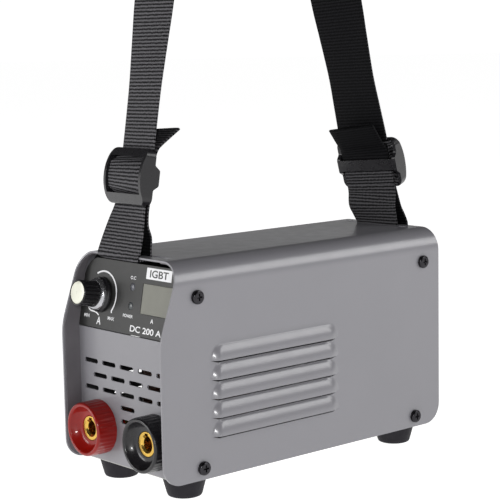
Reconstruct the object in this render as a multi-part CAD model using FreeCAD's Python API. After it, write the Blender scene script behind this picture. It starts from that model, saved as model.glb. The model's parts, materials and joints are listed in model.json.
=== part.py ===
"""Stick welding inverter with a shoulder strap, built as separate sub-parts.

Millimetres, +Z up, the front faces -Y. The origin is on the ground, under the centre of the
overall box. Most places are given in case coordinates: x from the middle plane, y from the
cover's front edge and z from the cover's lower edge, turned into row coordinates by case().
"""
import FreeCAD, Part
import math
import os

V = FreeCAD.Vector
X_AXIS = V(1, 0, 0)
Y_AXIS = V(0, 1, 0)
Z_AXIS = V(0, 0, 1)

# Overall size
WIDTH = 107.2
LENGTH = 256.4
HEIGHT = 142.0
HALF_LENGTH = 134.0          # the knob and the cable gland both reach this far from the origin
FRONT_Y = -130.0             # the cover's front edge in the row frame
BASE_Z = 13.4                # the cover's lower edge above the ground
CLEAR = 0.1                  # assembly gap between sheet parts
M4_HOLE_R = 2.05

# Cover: an inverted U of sheet steel
SHEET = 1.2
BEND_R = 16.0
CORNER_R = 14.0
KINK_Z = 93.0                # above this height the front edge leans back
SETBACK = 17.1
LOUVER_LIPS = [26.8 + 12.45 * row for row in range(5)]
LOUVER_START = 44.0
LOUVER_END = 150.5
LOUVER_RISE = 10.2
LOUVER_REACH = 3.8
SIDE_SCREWS = [(30.2, 119.4), (239.3, 119.4), (32.6, 7.8), (230.5, 7.8)]
SIDE_HOLE_R = 2.3
STRAP_SLOT_W = 60.0
FRONT_SLOT = (25.6, 29.6)
REAR_SLOT = (244.2, 248.2)
CHASSIS_FLANGE = 15.0        # height of the chassis tray's folded sides
PANEL_FLANGE = 14.0          # depth of the folded sides of the front and rear panels
PANEL_FLANGE_Z = 16.0        # they start above the chassis tray's sides

# Front panel and sockets
RECESS = 13.0                # the front panel's face behind the cover's front edge
PANEL_FOOT = 1.5
PANEL_SPLIT = 91.2           # the control panel starts here
PANEL_SEAM = 0.6             # the gap below it, down to the front panel
FLOOR_Z = 0.5
VENT_LENGTH = 15.0
VENT_HEIGHT = 3.0
VENT_PITCH = 19.6
VENT_ROWS = [(68.2, 5), (59.1, 4), (50.0, 5), (40.8, 1), (31.7, 1)]
SOCKET_X = 30.5
SOCKET_Z = 24.4
SOCKET_R = 18.0
SOCKET_FRONT = -2.0
SOCKET_HOLE_R = 12.7
INSERT_R = 8.5
INSERT_FACE = 4.6
INSERT_END = 24.6
STUD_R = 5.0
STUD_END = 40.0
KEY_SLOT = (3.2, 7.0)        # width of the bore's key slot and its height above the axis
LOCKNUT_FLATS = 32.0
LOCKNUT_H = 6.0
BAR_HALF = 9.0
BAR_T = 2.5
BAR_Y = 30.0
BAR_FOOT = 22.0
BEZEL_T = 0.7
BEZEL_DEPTH = 60.0
BEZEL_NOTCH_HALF = 33.0
SOCKET_BORE_R = 4.6
SOCKET_BORE_L = 20.0

# Control panel, tilted back about its lower edge
TILT = math.radians(10.75)
PANEL_HEIGHT = 46.6
PANEL_THICK = 2.0
KNOB_AT = (-31.0, 22.5)
KNOB_RIM_R = 8.5
SHAFT_R = 3.0
FIT = 0.05                   # radial clearance of a running fit
WINDOW = (12.5, 43.5, 14.7, 34.5)
LED_PLACES = {"led_overheat": (1.7, 31.0), "led_power": (2.0, 18.6)}
LED_R = 2.5
LABEL = (15.0, 41.0, 37.7, 45.1)
BOARD_DEPTH = 12.0           # the control board behind the control panel's face
EAR_UP = (14.0, 34.5)        # the control panel's folded ears, above PANEL_SPLIT
EAR_END = 38.0
SKIRT_R = 12.0
CAP_R = 7.5
CAP_RECESS = 1.5
FLUTES = 18
FLUTE_R = 0.9
POT_BUSH_R = 3.6
POT_R = 8.2

# Feet
FOOT_X = 34.3
FOOT_YS = {"front": 32.0, "rear": 228.5}
FOOT_TOP_R = 15.0
FOOT_LOW_R = 11.8
FOOT_TREAD_R = 10.0
FOOT_WELL = (4.6, 8.0)       # the screw's counterbore: radius and height

# Rear panel, fan, switch and cable gland
REAR_Y = 246.4               # the rear panel's outer face
REAR_TOP = 136.5
FAN_Z = 50.0
FAN_SIZE = 80.0
FAN_DEPTH = 25.0
FAN_BORE_R = 37.8
FAN_OPENING_R = 37.0
FAN_PITCH = 71.5
FAN_HOLE_R = 2.2
BLADE_COUNT = 7
BLADE_PITCH = 38.0
BLADE_TIP_R = 36.6
HUB_R = 17.0
MOTOR_R = 16.0
BEARING_R = 5.0
AXLE_R = 1.5
GUARD_RINGS = (8.0, 15.0, 22.0, 29.0, 36.0)
GUARD_WIRE_R = 0.8
GUARD_SPOKE_R = 0.95
GUARD_EYE_R = 4.4
SWITCH_AT = (-26.0, 113.0)
SWITCH_TILT = 10.0
SWITCH_BOX = (11.0, 14.4)    # half width and half height
SWITCH_WELL = (9.4, 12.7)
SWITCH_RIM = (12.6, 16.0)
SWITCH_DEPTH = 20.0
PIN_R = 1.5
PIN_IN = 3.0                 # the rocker's pins behind the rear panel's face
GLAND_AT = (20.0, 113.0)
GLAND_BORE_R = 4.5
EARTH_AT = (45.0, 101.0)

# Power board and what stands on it
BOARD_Z = 9.0
BOARD_T = 1.6
BOARD_TOP = BOARD_Z + BOARD_T
BOARD_HALF = 47.2            # clears the tips of the side screws
BOARD_Y = (26.0, 212.0)
STANDOFFS = [(-42, 46), (42, 60), (-42, 206), (42, 206), (-42, 120), (42, 120)]
STANDOFF_R = 3.0
HEATSINK_Y = (122.0, 202.0)
HEATSINK_TOP = 66.0
HEATSINK_X = (8.0, 45.0)     # from the gap in the middle out to the wall
HEATSINK_WALL = 4.0
FIN_COUNT = 7
FIN_PITCH = 8.4
FIN_T = 1.6
DEVICE = (4.6, 15.6)         # thickness and width of a power semiconductor
DEVICE_Z = (20.0, 41.0)
DEVICE_YS = (134, 154, 174, 192)
CAPACITOR_R = 10.8
CAPACITOR_TOP = 52.0
CAPACITORS = [(-36, 103), (-12, 103), (12, 103)]
RECTIFIER = (26, 46, 90, 118)
RECTIFIER_H = 8.0
CORE_X = (-46.0, 8.0)
CORE_Y = (60.0, 84.0)
CORE_HEIGHT = 54.0
CORE_LIMB = 8.5
CORE_WINDOW = 9.0
WINDING_OVERHANG = 7.0
CHOKE_AT = (30.0, 72.0)
CHOKE_R = 15.0
CHOKE_WIRE_R = 7.0

# Strap of flat webbing, carried over a rounded crown
WEB = 1.6
WEB_WIDTH = 40.0
WEB_GAP = 0.3
PIVOT_Z = 164.5
CROWN_R = 45.0
FRONT_LEG = {"y": 20.1, "slope": 0.169, "twist": -8.0, "out": -1}
REAR_LEG = {"y": 245.1, "slope": -0.262, "twist": 15.0, "out": 1}
ANCHORS = {"front": (-8.4, 14.8, 28.0), "rear": (0.0, 258.4, 245.6)}     # middle, outer y, inner y
ANCHOR_TOP = 1.5             # they end this far above the cover
BUCKLE_S = {"front": 29.0, "rear": 23.5}     # the buckle's middle along its leg from the pivot
BUCKLE_SHIFT = {"front": -1.4, "rear": 1.4}  # how far it sits off the webbing's middle line
BUCKLE_H = 37.0
BUCKLE_W = 49.0
BUCKLE_CORNER_R = 6.0
BUCKLE_BOW = 5.2              # how far its rails bow out past the outer bars
BOW_HALF = 7.0                # half of the rails' deepest stretch
BOW_R = 30.0
LUG_DEPTH = 3.8               # the rails' lugs reach this far in to the middle bar
LUG_HALF = (5.0, 8.0)         # half of a lug's length at its tip and at its root
LUG_R = 1.6
RAIL = 2.7
RAIL_END_R = 2.0
OUTER_BAR_T = 3.2
INNER_BAR_T = 1.6
LOW_BAR_H = 7.0
HIGH_BAR_H = 5.5
MIDDLE_BAR_H = 8.4
TAIL_STRAIGHT = 17.0
TAIL_END = (31.0, 14.0)      # how far the free end reaches up, and in from the strap


def case(x, y, z):
    """A point in case coordinates, in the row frame."""
    return V(x, FRONT_Y + y, BASE_Z + z)


def xz_plane(y):
    return lambda a, b: case(a, y, b)


def yz_plane(x):
    return lambda a, b: case(x, a, b)


def xy_plane(z):
    return lambda a, b: case(a, b, z)


def panel_point(x, up, out=0.0):
    """A point on the tilted control panel: up along its face, out along its outward normal."""
    y = RECESS + up * math.sin(TILT) - out * math.cos(TILT)
    z = PANEL_SPLIT + up * math.cos(TILT) + out * math.sin(TILT)
    return case(x, y, z)


def panel_plane(out):
    return lambda a, b: panel_point(a, b, out)


PANEL_OUT = V(0, -math.cos(TILT), math.sin(TILT))


def outline(corners, plane):
    """A closed wire through (a, b, radius) corners, with each corner rounded."""
    count = len(corners)
    arcs = []
    for index, (a, b, radius) in enumerate(corners):
        here = FreeCAD.Vector(a, b, 0)
        before = FreeCAD.Vector(*corners[index - 1][:2], 0) - here
        after = FreeCAD.Vector(*corners[(index + 1) % count][:2], 0) - here
        before.normalize()
        after.normalize()
        if radius <= 0:
            arcs.append((here, here, here))
            continue
        half = math.acos(max(-1.0, min(1.0, before.dot(after)))) / 2
        reach = radius / math.tan(half)
        toward = (before + after).normalize()
        middle = here + toward * (radius / math.sin(half) - radius)
        arcs.append((here + before * reach, middle, here + after * reach))
    edges = []
    for index, (start, middle, end) in enumerate(arcs):
        last = arcs[index - 1][2]
        if (start - last).Length > 1e-6:
            edges.append(Part.LineSegment(plane(last.x, last.y), plane(start.x, start.y)).toShape())
        if (end - start).Length > 1e-6:
            points = [plane(p.x, p.y) for p in (start, middle, end)]
            edges.append(Part.Arc(*points).toShape())
    return Part.Wire(edges)


def plate(corners, plane, depth):
    """A flat solid with rounded corners, extruded by the vector depth."""
    return Part.Face(outline(corners, plane)).extrude(depth)


def rectangle(a0, a1, b0, b1, radius=0.0):
    return [(a0, b0, radius), (a1, b0, radius), (a1, b1, radius), (a0, b1, radius)]


def block(x0, x1, y0, y1, z0, z1):
    """A box in case coordinates."""
    return Part.makeBox(x1 - x0, y1 - y0, z1 - z0, case(x0, y0, z0))


def rod(radius, start, end):
    return Part.makeCylinder(radius, (end - start).Length, start, end - start)


def turned(points, base, axis, side):
    """A solid of revolution from (radius, height) points about an axis through base."""
    axis = V(axis).normalize()
    ring = [base + side * radius + axis * height for radius, height in points]
    face = Part.Face(Part.makePolygon(ring + ring[:1]))
    return face.revolve(base, axis, 360)


def hexagon(across_flats, start, end):
    """A hexagonal prism along Y between two points."""
    radius = across_flats / math.sqrt(3)
    corners = []
    for turn in range(6):
        angle = math.radians(60 * turn)
        corners.append(start + X_AXIS * radius * math.cos(angle) + Z_AXIS * radius * math.sin(angle))
    return Part.Face(Part.makePolygon(corners + corners[:1])).extrude(end - start)


def fused(shapes):
    return shapes[0].multiFuse(shapes[1:]).removeSplitter()


def pan_screw(head_at, direction, head_r, head_h, shank_r, shank_l):
    """A pan-head screw with a cross recess; direction points out of the head."""
    out = V(direction).normalize()
    head = rod(head_r, head_at, head_at + out * head_h)
    top = [e for e in head.Edges if len(e.Vertexes) == 1 and (e.CenterOfMass - head_at).Length > head_h / 2]
    head = head.makeFillet(head_h * 0.55, top)
    side = Z_AXIS if abs(out.z) < 0.5 else X_AXIS
    across = out.cross(side)
    for wide, narrow in ((side, across), (across, side)):
        corner = head_at + out * (head_h * 0.45) - wide * (head_r * 0.5) - narrow * (head_r * 0.12)
        edge = [corner, corner + wide * head_r, corner + wide * head_r + narrow * (head_r * 0.24)]
        edge.append(corner + narrow * (head_r * 0.24))
        head = head.cut(Part.Face(Part.makePolygon(edge + edge[:1])).extrude(out * head_h))
    return head.fuse(rod(shank_r, head_at - out * shank_l, head_at + out * 0.2)).removeSplitter()


# Cover ------------------------------------------------------------------------------------

def louver_hood(lip):
    """The pressed hood of one louver on the +X side, rounded at both ends and open below."""
    x = WIDTH / 2
    sink = 0.3
    outer = [(x, lip + LOUVER_RISE), (x + 0.62 * LOUVER_REACH, lip + 0.6 * LOUVER_RISE)]
    outer.append((x + LOUVER_REACH, lip))
    inner = [(a - SHEET * share, b - 1.5 * (1 - share)) for (a, b), share in zip(outer, (0.0, 0.7, 1.0))]
    at = [case(a, LOUVER_START, b) for a, b in outer]
    back = [case(a, LOUVER_START, b) for a, b in reversed(inner)]
    sunk = [case(x - sink, LOUVER_START, inner[0][1]), case(x - sink, LOUVER_START, outer[0][1])]
    edges = [
        Part.Arc(*at).toShape(),
        Part.makeLine(at[2], back[0]),
        Part.Arc(*back).toShape(),
        Part.makeLine(back[2], sunk[0]),
        Part.makeLine(sunk[0], sunk[1]),
        Part.makeLine(sunk[1], at[0]),
    ]
    face = Part.Face(Part.Wire(edges))
    run = V(0, LOUVER_END - LOUVER_START, 0)
    front_end = face.revolve(case(x - sink, LOUVER_START, 0), Z_AXIS, -90)
    rear_end = face.translated(run).revolve(case(x - sink, LOUVER_END, 0), Z_AXIS, 90)
    return fused([face.extrude(run), front_end, rear_end])


def side_silhouette():
    """The cover's outline seen from the side, as a block across its width."""
    corners = [(0, 0, CORNER_R), (0, KINK_Z, 6.0), (SETBACK, HEIGHT, 0), (LENGTH, HEIGHT, 0)]
    corners.append((LENGTH, 0, CORNER_R))
    return plate(corners, yz_plane(-WIDTH), V(2 * WIDTH, 0, 0))


def arch(half, top, radius, y0, y1):
    """A solid with the cover's arched section between two y values, open ended below."""
    corners = [(-half, -5, 0), (-half, top, radius), (half, top, radius), (half, -5, 0)]
    return plate(corners, xz_plane(y0), V(0, y1 - y0, 0))


def cover():
    outer = arch(WIDTH / 2, HEIGHT, BEND_R, 0, LENGTH)
    inner = arch(WIDTH / 2 - SHEET, HEIGHT - SHEET, BEND_R - SHEET, -1, LENGTH + 1)
    shell = outer.cut(inner).common(side_silhouette())
    cuts = []
    for y, z in SIDE_SCREWS:
        cuts.append(rod(SIDE_HOLE_R, case(-WIDTH, y, z), case(WIDTH, y, z)))
    for y0, y1 in (FRONT_SLOT, REAR_SLOT):
        half = STRAP_SLOT_W / 2
        slot = rectangle(-half, half, y0, y1, 1.9)
        cuts.append(plate(slot, xy_plane(HEIGHT - 5), V(0, 0, 10)))
    hoods = []
    for lip in LOUVER_LIPS:
        x = WIDTH / 2
        slit = block(x - SHEET - 1, x + 0.01, LOUVER_START, LOUVER_END, lip, lip + LOUVER_RISE - 3.0)
        hood = louver_hood(lip)
        cuts += [slit, slit.mirror(V(0, 0, 0), X_AXIS)]
        hoods += [hood, hood.mirror(V(0, 0, 0), X_AXIS)]
    return fused([shell.cut(cuts)] + hoods)


# Chassis, panels and feet --------------------------------------------------------------------

def base_chassis():
    half = WIDTH / 2 - SHEET - CLEAR
    y0 = RECESS + SHEET + CLEAR
    y1 = REAR_Y - SHEET - CLEAR
    parts = [block(-half, half, y0, y1, FLOOR_Z, FLOOR_Z + SHEET)]
    for side in (-1, 1):
        flange = sorted((side * half, side * (half - SHEET)))
        parts.append(block(flange[0], flange[1], y0, y1, FLOOR_Z, CHASSIS_FLANGE))
    tray = fused(parts)
    cuts = [rod(M4_HOLE_R, case(-WIDTH, y, z), case(WIDTH, y, z)) for y, z in SIDE_SCREWS[2:]]
    for y in FOOT_YS.values():
        for x in (-FOOT_X, FOOT_X):
            cuts.append(rod(M4_HOLE_R, case(x, y, -5), case(x, y, 5)))
    return tray.cut(cuts)


def front_panel():
    half = WIDTH / 2 - SHEET - CLEAR
    face = block(-half, half, RECESS, RECESS + SHEET, PANEL_FOOT, PANEL_SPLIT - PANEL_SEAM)
    flanges = []
    for side in (-1, 1):
        edge = sorted((side * half, side * (half - SHEET)))
        depth = (RECESS, RECESS + PANEL_FLANGE)
        flanges.append(block(*edge, *depth, PANEL_FLANGE_Z, PANEL_SPLIT - 3))
    vents = []
    for z, count in VENT_ROWS:
        for index in range(count):
            x = (index - (count - 1) / 2) * VENT_PITCH
            corners = rectangle(x - VENT_LENGTH / 2, x + VENT_LENGTH / 2, z - VENT_HEIGHT / 2,
                                z + VENT_HEIGHT / 2, 1.45)
            vents.append(plate(corners, xz_plane(RECESS - 1), V(0, SHEET + 2, 0)))
    holes = [rod(SOCKET_HOLE_R, case(x, 0, SOCKET_Z), case(x, 30, SOCKET_Z)) for x in (-SOCKET_X, SOCKET_X)]
    return fused([face] + flanges).cut(vents + holes)


def front_bezel():
    """Dark trim that lines the cover's mouth, notched at the top where the strap passes."""
    gap = SHEET + CLEAR
    thin = gap + BEZEL_T
    end = BEZEL_DEPTH
    outer = arch(WIDTH / 2 - gap, HEIGHT - gap, BEND_R - gap, 0, end)
    inner = arch(WIDTH / 2 - thin, HEIGHT - thin, BEND_R - thin, -1, end + 1)
    across = V(2 * WIDTH, 0, 0)
    corners = [(1.2, 2.0, 10), (1.2, KINK_Z, 6), (SETBACK + 1.2, HEIGHT, 0), (end, HEIGHT, 0), (end, 2.0, 0)]
    front = plate(corners, yz_plane(-WIDTH), across)
    foot = RECESS - CLEAR
    lean = PANEL_HEIGHT * math.tan(TILT) + 2
    corners = [(foot, -10, 0), (foot, PANEL_SPLIT, 0), (foot + lean, PANEL_SPLIT + PANEL_HEIGHT * 1.25, 0)]
    corners += [(90, 200, 0), (90, -10, 0)]
    behind = plate(corners, yz_plane(-WIDTH), across)
    notch = block(-BEZEL_NOTCH_HALF, BEZEL_NOTCH_HALF, 0, end, HEIGHT - 10, HEIGHT + 5)
    return outer.cut(inner).common(front).cut([behind, notch])


def foot(x, y):
    """A tapered rubber foot with a rounded tread and a counterbore for its screw."""
    base = V(x, FRONT_Y + y, 0)
    top = BASE_Z + FLOOR_Z
    well_r, well_top = FOOT_WELL
    body = [(well_r, 0), (FOOT_TREAD_R, 0), (FOOT_LOW_R - 0.6, 0.5), (FOOT_LOW_R, 1.9), (FOOT_TOP_R, top),
            (M4_HOLE_R, top), (M4_HOLE_R, well_top), (well_r, well_top)]
    return turned(body, base, Z_AXIS, X_AXIS)


def foot_screws():
    screws = []
    for y in FOOT_YS.values():
        for x in (-FOOT_X, FOOT_X):
            head = V(x, FRONT_Y + y, FOOT_WELL[1])
            screws.append(pan_screw(head, V(0, 0, -1), 4.2, 2.6, 2.0, BASE_Z - 2.5))
    return Part.makeCompound(screws)


def side_screws():
    screws = []
    for y, z in SIDE_SCREWS:
        for side in (-1, 1):
            seat = case(side * WIDTH / 2, y, z)
            screws.append(pan_screw(seat, X_AXIS * side, 4.6, 2.7, 2.0, 6.0))
    return Part.makeCompound(screws)


# Control panel ---------------------------------------------------------------------------------

def control_panel():
    half = WIDTH / 2 - SHEET - CLEAR
    inner_bend = BEND_R - SHEET - CLEAR
    corners = [(-half, 0, 0), (-half, PANEL_HEIGHT, inner_bend)]
    corners += [(half, PANEL_HEIGHT, inner_bend), (half, 0, 0)]
    face = plate(corners, panel_plane(0), PANEL_OUT * -PANEL_THICK)
    cuts = [plate(rectangle(*WINDOW), panel_plane(2), PANEL_OUT * -10)]
    cuts.append(rod(POT_BUSH_R + CLEAR, panel_point(*KNOB_AT, 5), panel_point(*KNOB_AT, -10)))
    for place in LED_PLACES.values():
        cuts.append(rod(LED_R + 0.05, panel_point(*place, 5), panel_point(*place, -10)))
    ears = []
    for side in (-1, 1):
        edge = sorted((side * half, side * (half - PANEL_THICK)))
        ear = block(edge[0], edge[1], RECESS, EAR_END, PANEL_SPLIT + EAR_UP[0], PANEL_SPLIT + EAR_UP[1])
        ahead = plate(rectangle(-half - 5, half + 5, -20, 90), panel_plane(0), PANEL_OUT * 60)
        ears.append(ear.cut(ahead))
    holes = [rod(M4_HOLE_R, case(-WIDTH, y, z), case(WIDTH, y, z)) for y, z in SIDE_SCREWS[:1]]
    return fused([face.cut(cuts)] + ears).cut(holes)


def display_lens():
    a0, a1, b0, b1 = WINDOW
    shape = rectangle(a0 + CLEAR, a1 - CLEAR, b0 + CLEAR, b1 - CLEAR)
    return plate(shape, panel_plane(-0.3), PANEL_OUT * -1.5)


def display_module():
    a0, a1, b0, b1 = WINDOW
    shape = rectangle(a0 + 1, a1 - 1, b0 + 1.5, b1 - 1.5)
    return plate(shape, panel_plane(-2.2), PANEL_OUT * (2.2 - BOARD_DEPTH))


def control_board():
    board = plate(rectangle(-46, 46, 4, 41, 1.0), panel_plane(-BOARD_DEPTH), PANEL_OUT * -BOARD_T)
    chip = plate(rectangle(-12, 6, 22, 34), panel_plane(-BOARD_DEPTH - BOARD_T), PANEL_OUT * -2.5)
    plug = plate(rectangle(-30, -10, 7, 13), panel_plane(-BOARD_DEPTH - BOARD_T), PANEL_OUT * -8)
    return fused([board, chip, plug])


def indicator(place):
    """A 3 mm lamp with a domed tip and a collar behind the panel."""
    base = panel_point(*place, -BOARD_DEPTH)
    tip = BOARD_DEPTH + 0.6
    shape = [(0, 0), (LED_R + 0.4, 0), (LED_R + 0.4, BOARD_DEPTH - 2.3), (LED_R, BOARD_DEPTH - 2.3),
             (LED_R, tip - 0.9), (LED_R * 0.7, tip - 0.3), (0, tip)]
    return turned(shape, base, PANEL_OUT, X_AXIS)


def panel_label():
    return plate(rectangle(*LABEL, 0.4), panel_plane(0.3), PANEL_OUT * -0.3)


def knob_reach():
    """How far the knob's front stands from the panel, so that its rim reaches HALF_LENGTH."""
    root = panel_point(*KNOB_AT)
    return (root.y + HALF_LENGTH - KNOB_RIM_R * math.sin(TILT)) / math.cos(TILT)


def current_knob():
    """A fluted knob with a skirt, bored for the shaft and recessed for its cap."""
    base = panel_point(*KNOB_AT)
    front = knob_reach()
    body = turned([(0, 0.8), (SKIRT_R, 0.8), (SKIRT_R, 2.2), (SKIRT_R - 1.4, 4.2), (KNOB_RIM_R + 0.9, 4.8),
                   (KNOB_RIM_R, 5.4), (KNOB_RIM_R, front), (0, front)], base, PANEL_OUT, X_AXIS)
    up = PANEL_OUT.cross(X_AXIS)
    flutes = []
    for turn in range(FLUTES):
        angle = 2 * math.pi * turn / FLUTES
        side = X_AXIS * math.cos(angle) + up * math.sin(angle)
        centre = base + side * (KNOB_RIM_R + 0.35)
        flutes.append(rod(FLUTE_R, centre + PANEL_OUT * 6.2, centre + PANEL_OUT * (front - 1.6)))
    recess = rod(CAP_R + CLEAR, base + PANEL_OUT * (front - CAP_RECESS), base + PANEL_OUT * (front + 1))
    bore = rod(SHAFT_R + 0.01, base, base + PANEL_OUT * (front - 4))
    return body.cut(flutes + [recess, bore])


def knob_cap():
    base = panel_point(*KNOB_AT)
    front = knob_reach()
    low = front - CAP_RECESS
    shape = [(0, low), (CAP_R, low), (CAP_R, front - 0.5), (CAP_R - 0.4, front - 0.1), (0, front - 0.05)]
    return turned(shape, base, PANEL_OUT, X_AXIS)


def potentiometer():
    base = panel_point(*KNOB_AT)
    bush = SHAFT_R + FIT
    front = -PANEL_THICK - CLEAR
    back = -BOARD_DEPTH + CLEAR
    shape = [(bush, -4), (bush, 0.6), (POT_BUSH_R, 0.6), (POT_BUSH_R, front), (POT_R, front), (POT_R, back),
             (0, back), (0, -7.5), (bush, -7.5)]
    return turned(shape, base, PANEL_OUT, X_AXIS)


def pot_shaft():
    base = panel_point(*KNOB_AT)
    return rod(SHAFT_R, base - PANEL_OUT * 7.0, base + PANEL_OUT * (knob_reach() - 4.2))


# Sockets and busbars -------------------------------------------------------------------------------

def socket_body(x):
    """A cup-shaped insulating shell with its rear boss through the panel."""
    base = case(x, SOCKET_FRONT, SOCKET_Z)
    face = RECESS - SOCKET_FRONT
    step = INSERT_FACE - SOCKET_FRONT
    bore = INSERT_R + 0.02
    back = face - CLEAR / 2
    boss = SOCKET_HOLE_R - 0.1
    shape = [(bore, step), (11.0, step), (13.4, step - 2.2), (15.0, 1.6), (15.4, 0.4), (16.1, 0.0),
             (17.2, 0.0), (17.8, 0.5), (SOCKET_R, 1.4), (SOCKET_R + 0.3, back), (boss, back),
             (boss, face + 11), (bore, face + 11)]
    return turned(shape, base, Y_AXIS, X_AXIS)


def socket_insert(x):
    """The brass contact with its bayonet bore and the threaded stud behind it."""
    base = case(x, INSERT_FACE, SOCKET_Z)
    shape = [(SOCKET_BORE_R + 1.4, 0), (INSERT_R - 0.5, 0), (INSERT_R, 0.5), (INSERT_R, INSERT_END),
             (STUD_R, INSERT_END), (STUD_R, STUD_END), (0, STUD_END), (0, SOCKET_BORE_L + 1.5),
             (SOCKET_BORE_R, SOCKET_BORE_L), (SOCKET_BORE_R, 1.4)]
    body = turned(shape, base, Y_AXIS, X_AXIS)
    key_w, key_h = KEY_SLOT
    key = Part.makeBox(key_w, SOCKET_BORE_L, key_h, base + V(-key_w / 2, -0.1, 0))
    return body.cut(key)


def socket_locknuts():
    """Ring nuts that clamp the socket shells from behind the panel."""
    nuts = []
    for x in (-SOCKET_X, SOCKET_X):
        start = case(x, RECESS + SHEET + CLEAR, SOCKET_Z)
        end = start + Y_AXIS * LOCKNUT_H
        nuts.append(hexagon(LOCKNUT_FLATS, start, end).cut(rod(SOCKET_HOLE_R, start - Y_AXIS, end + Y_AXIS)))
    return Part.makeCompound(nuts)


def busbar_nuts():
    nuts = []
    for x in (-SOCKET_X, SOCKET_X):
        start = case(x, BAR_Y + BAR_T + CLEAR, SOCKET_Z)
        end = start + Y_AXIS * 8
        nuts.append(hexagon(17.0, start, end).cut(rod(STUD_R + FIT, start - Y_AXIS, end + Y_AXIS)))
    return Part.makeCompound(nuts)


def busbar(x):
    """A copper strap from the socket stud down to the power board."""
    left, right = x - BAR_HALF, x + BAR_HALF
    upright = block(left, right, BAR_Y, BAR_Y + BAR_T, BOARD_TOP, SOCKET_Z + 10)
    sole = block(left, right, BAR_Y, BAR_Y + BAR_FOOT, BOARD_TOP, BOARD_TOP + BAR_T)
    hole = rod(STUD_R + CLEAR, case(x, BAR_Y - 1, SOCKET_Z), case(x, BAR_Y + 5, SOCKET_Z))
    return fused([upright, sole]).cut(hole)


# Rear panel, fan, switch and gland ------------------------------------------------------------------

def fan_corners():
    half = FAN_PITCH / 2
    return [(x, FAN_Z + z) for x in (-half, half) for z in (-half, half)]


def rear_panel():
    half = WIDTH / 2 - SHEET - CLEAR
    bend = BEND_R - SHEET - CLEAR
    corners = [(-half, PANEL_FOOT, 0), (-half, REAR_TOP, bend)]
    corners += [(half, REAR_TOP, bend), (half, PANEL_FOOT, 0)]
    face = plate(corners, xz_plane(REAR_Y - SHEET), V(0, SHEET, 0))
    flanges = []
    for side in (-1, 1):
        edge = sorted((side * half, side * (half - SHEET)))
        flanges.append(block(edge[0], edge[1], REAR_Y - PANEL_FLANGE, REAR_Y - SHEET / 2, PANEL_FLANGE_Z,
                             REAR_TOP - BEND_R))
    y0 = REAR_Y - 5
    y1 = REAR_Y + 5
    cuts = [rod(FAN_OPENING_R, case(0, y0, FAN_Z), case(0, y1, FAN_Z))]
    cuts += [rod(FAN_HOLE_R, case(x, y0, z), case(x, y1, z)) for x, z in fan_corners()]
    cuts.append(rod(M4_HOLE_R, case(-WIDTH, *SIDE_SCREWS[1]), case(WIDTH, *SIDE_SCREWS[1])))
    sx, sz = SWITCH_AT
    box_w, box_h = (side + CLEAR for side in SWITCH_BOX)
    cuts.append(block(sx - box_w, sx + box_w, y0, y1, sz - box_h, sz + box_h))
    cuts.append(rod(8.1, case(GLAND_AT[0], y0, GLAND_AT[1]), case(GLAND_AT[0], y1, GLAND_AT[1])))
    cuts.append(rod(2.6, case(EARTH_AT[0], y0, EARTH_AT[1]), case(EARTH_AT[0], y1, EARTH_AT[1])))
    return fused([face] + flanges).cut(cuts)


FAN_Y1 = REAR_Y - SHEET - CLEAR
FAN_Y0 = FAN_Y1 - FAN_DEPTH


def fan_frame():
    half = FAN_SIZE / 2
    square = rectangle(-half, half, FAN_Z - half, FAN_Z + half, 4.0)
    body = plate(square, xz_plane(FAN_Y0), V(0, FAN_DEPTH, 0))
    bore = rod(FAN_BORE_R, case(0, FAN_Y0 - 1, FAN_Z), case(0, FAN_Y1 + 1, FAN_Z))
    holes = [rod(FAN_HOLE_R, case(x, FAN_Y0 - 1, z), case(x, FAN_Y1 + 1, z)) for x, z in fan_corners()]
    waists = []
    for side in (-1, 1):
        edge = sorted((side * (half + 1), side * (half - 1.0)))
        waists.append(block(edge[0], edge[1], FAN_Y0 + 4, FAN_Y1 - 4, FAN_Z - 30, FAN_Z + 30))
    frame = body.cut([bore] + holes + waists)
    hub = rod(MOTOR_R, case(0, FAN_Y0, FAN_Z), case(0, FAN_Y0 + 2, FAN_Z))
    tube = rod(BEARING_R, case(0, FAN_Y0, FAN_Z), case(0, FAN_Y0 + 14, FAN_Z))
    struts = []
    for turn in range(4):
        strut = block(12, FAN_BORE_R + 1, FAN_Y0, FAN_Y0 + 2, FAN_Z - 2, FAN_Z + 2)
        strut.rotate(case(0, FAN_Y0, FAN_Z), Y_AXIS, 90 * turn + 45)
        struts.append(strut)
    axle = rod(AXLE_R + FIT, case(0, FAN_Y0 + 1, FAN_Z), case(0, FAN_Y0 + 20, FAN_Z))
    return fused([frame, hub, tube] + struts).cut(axle)


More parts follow.
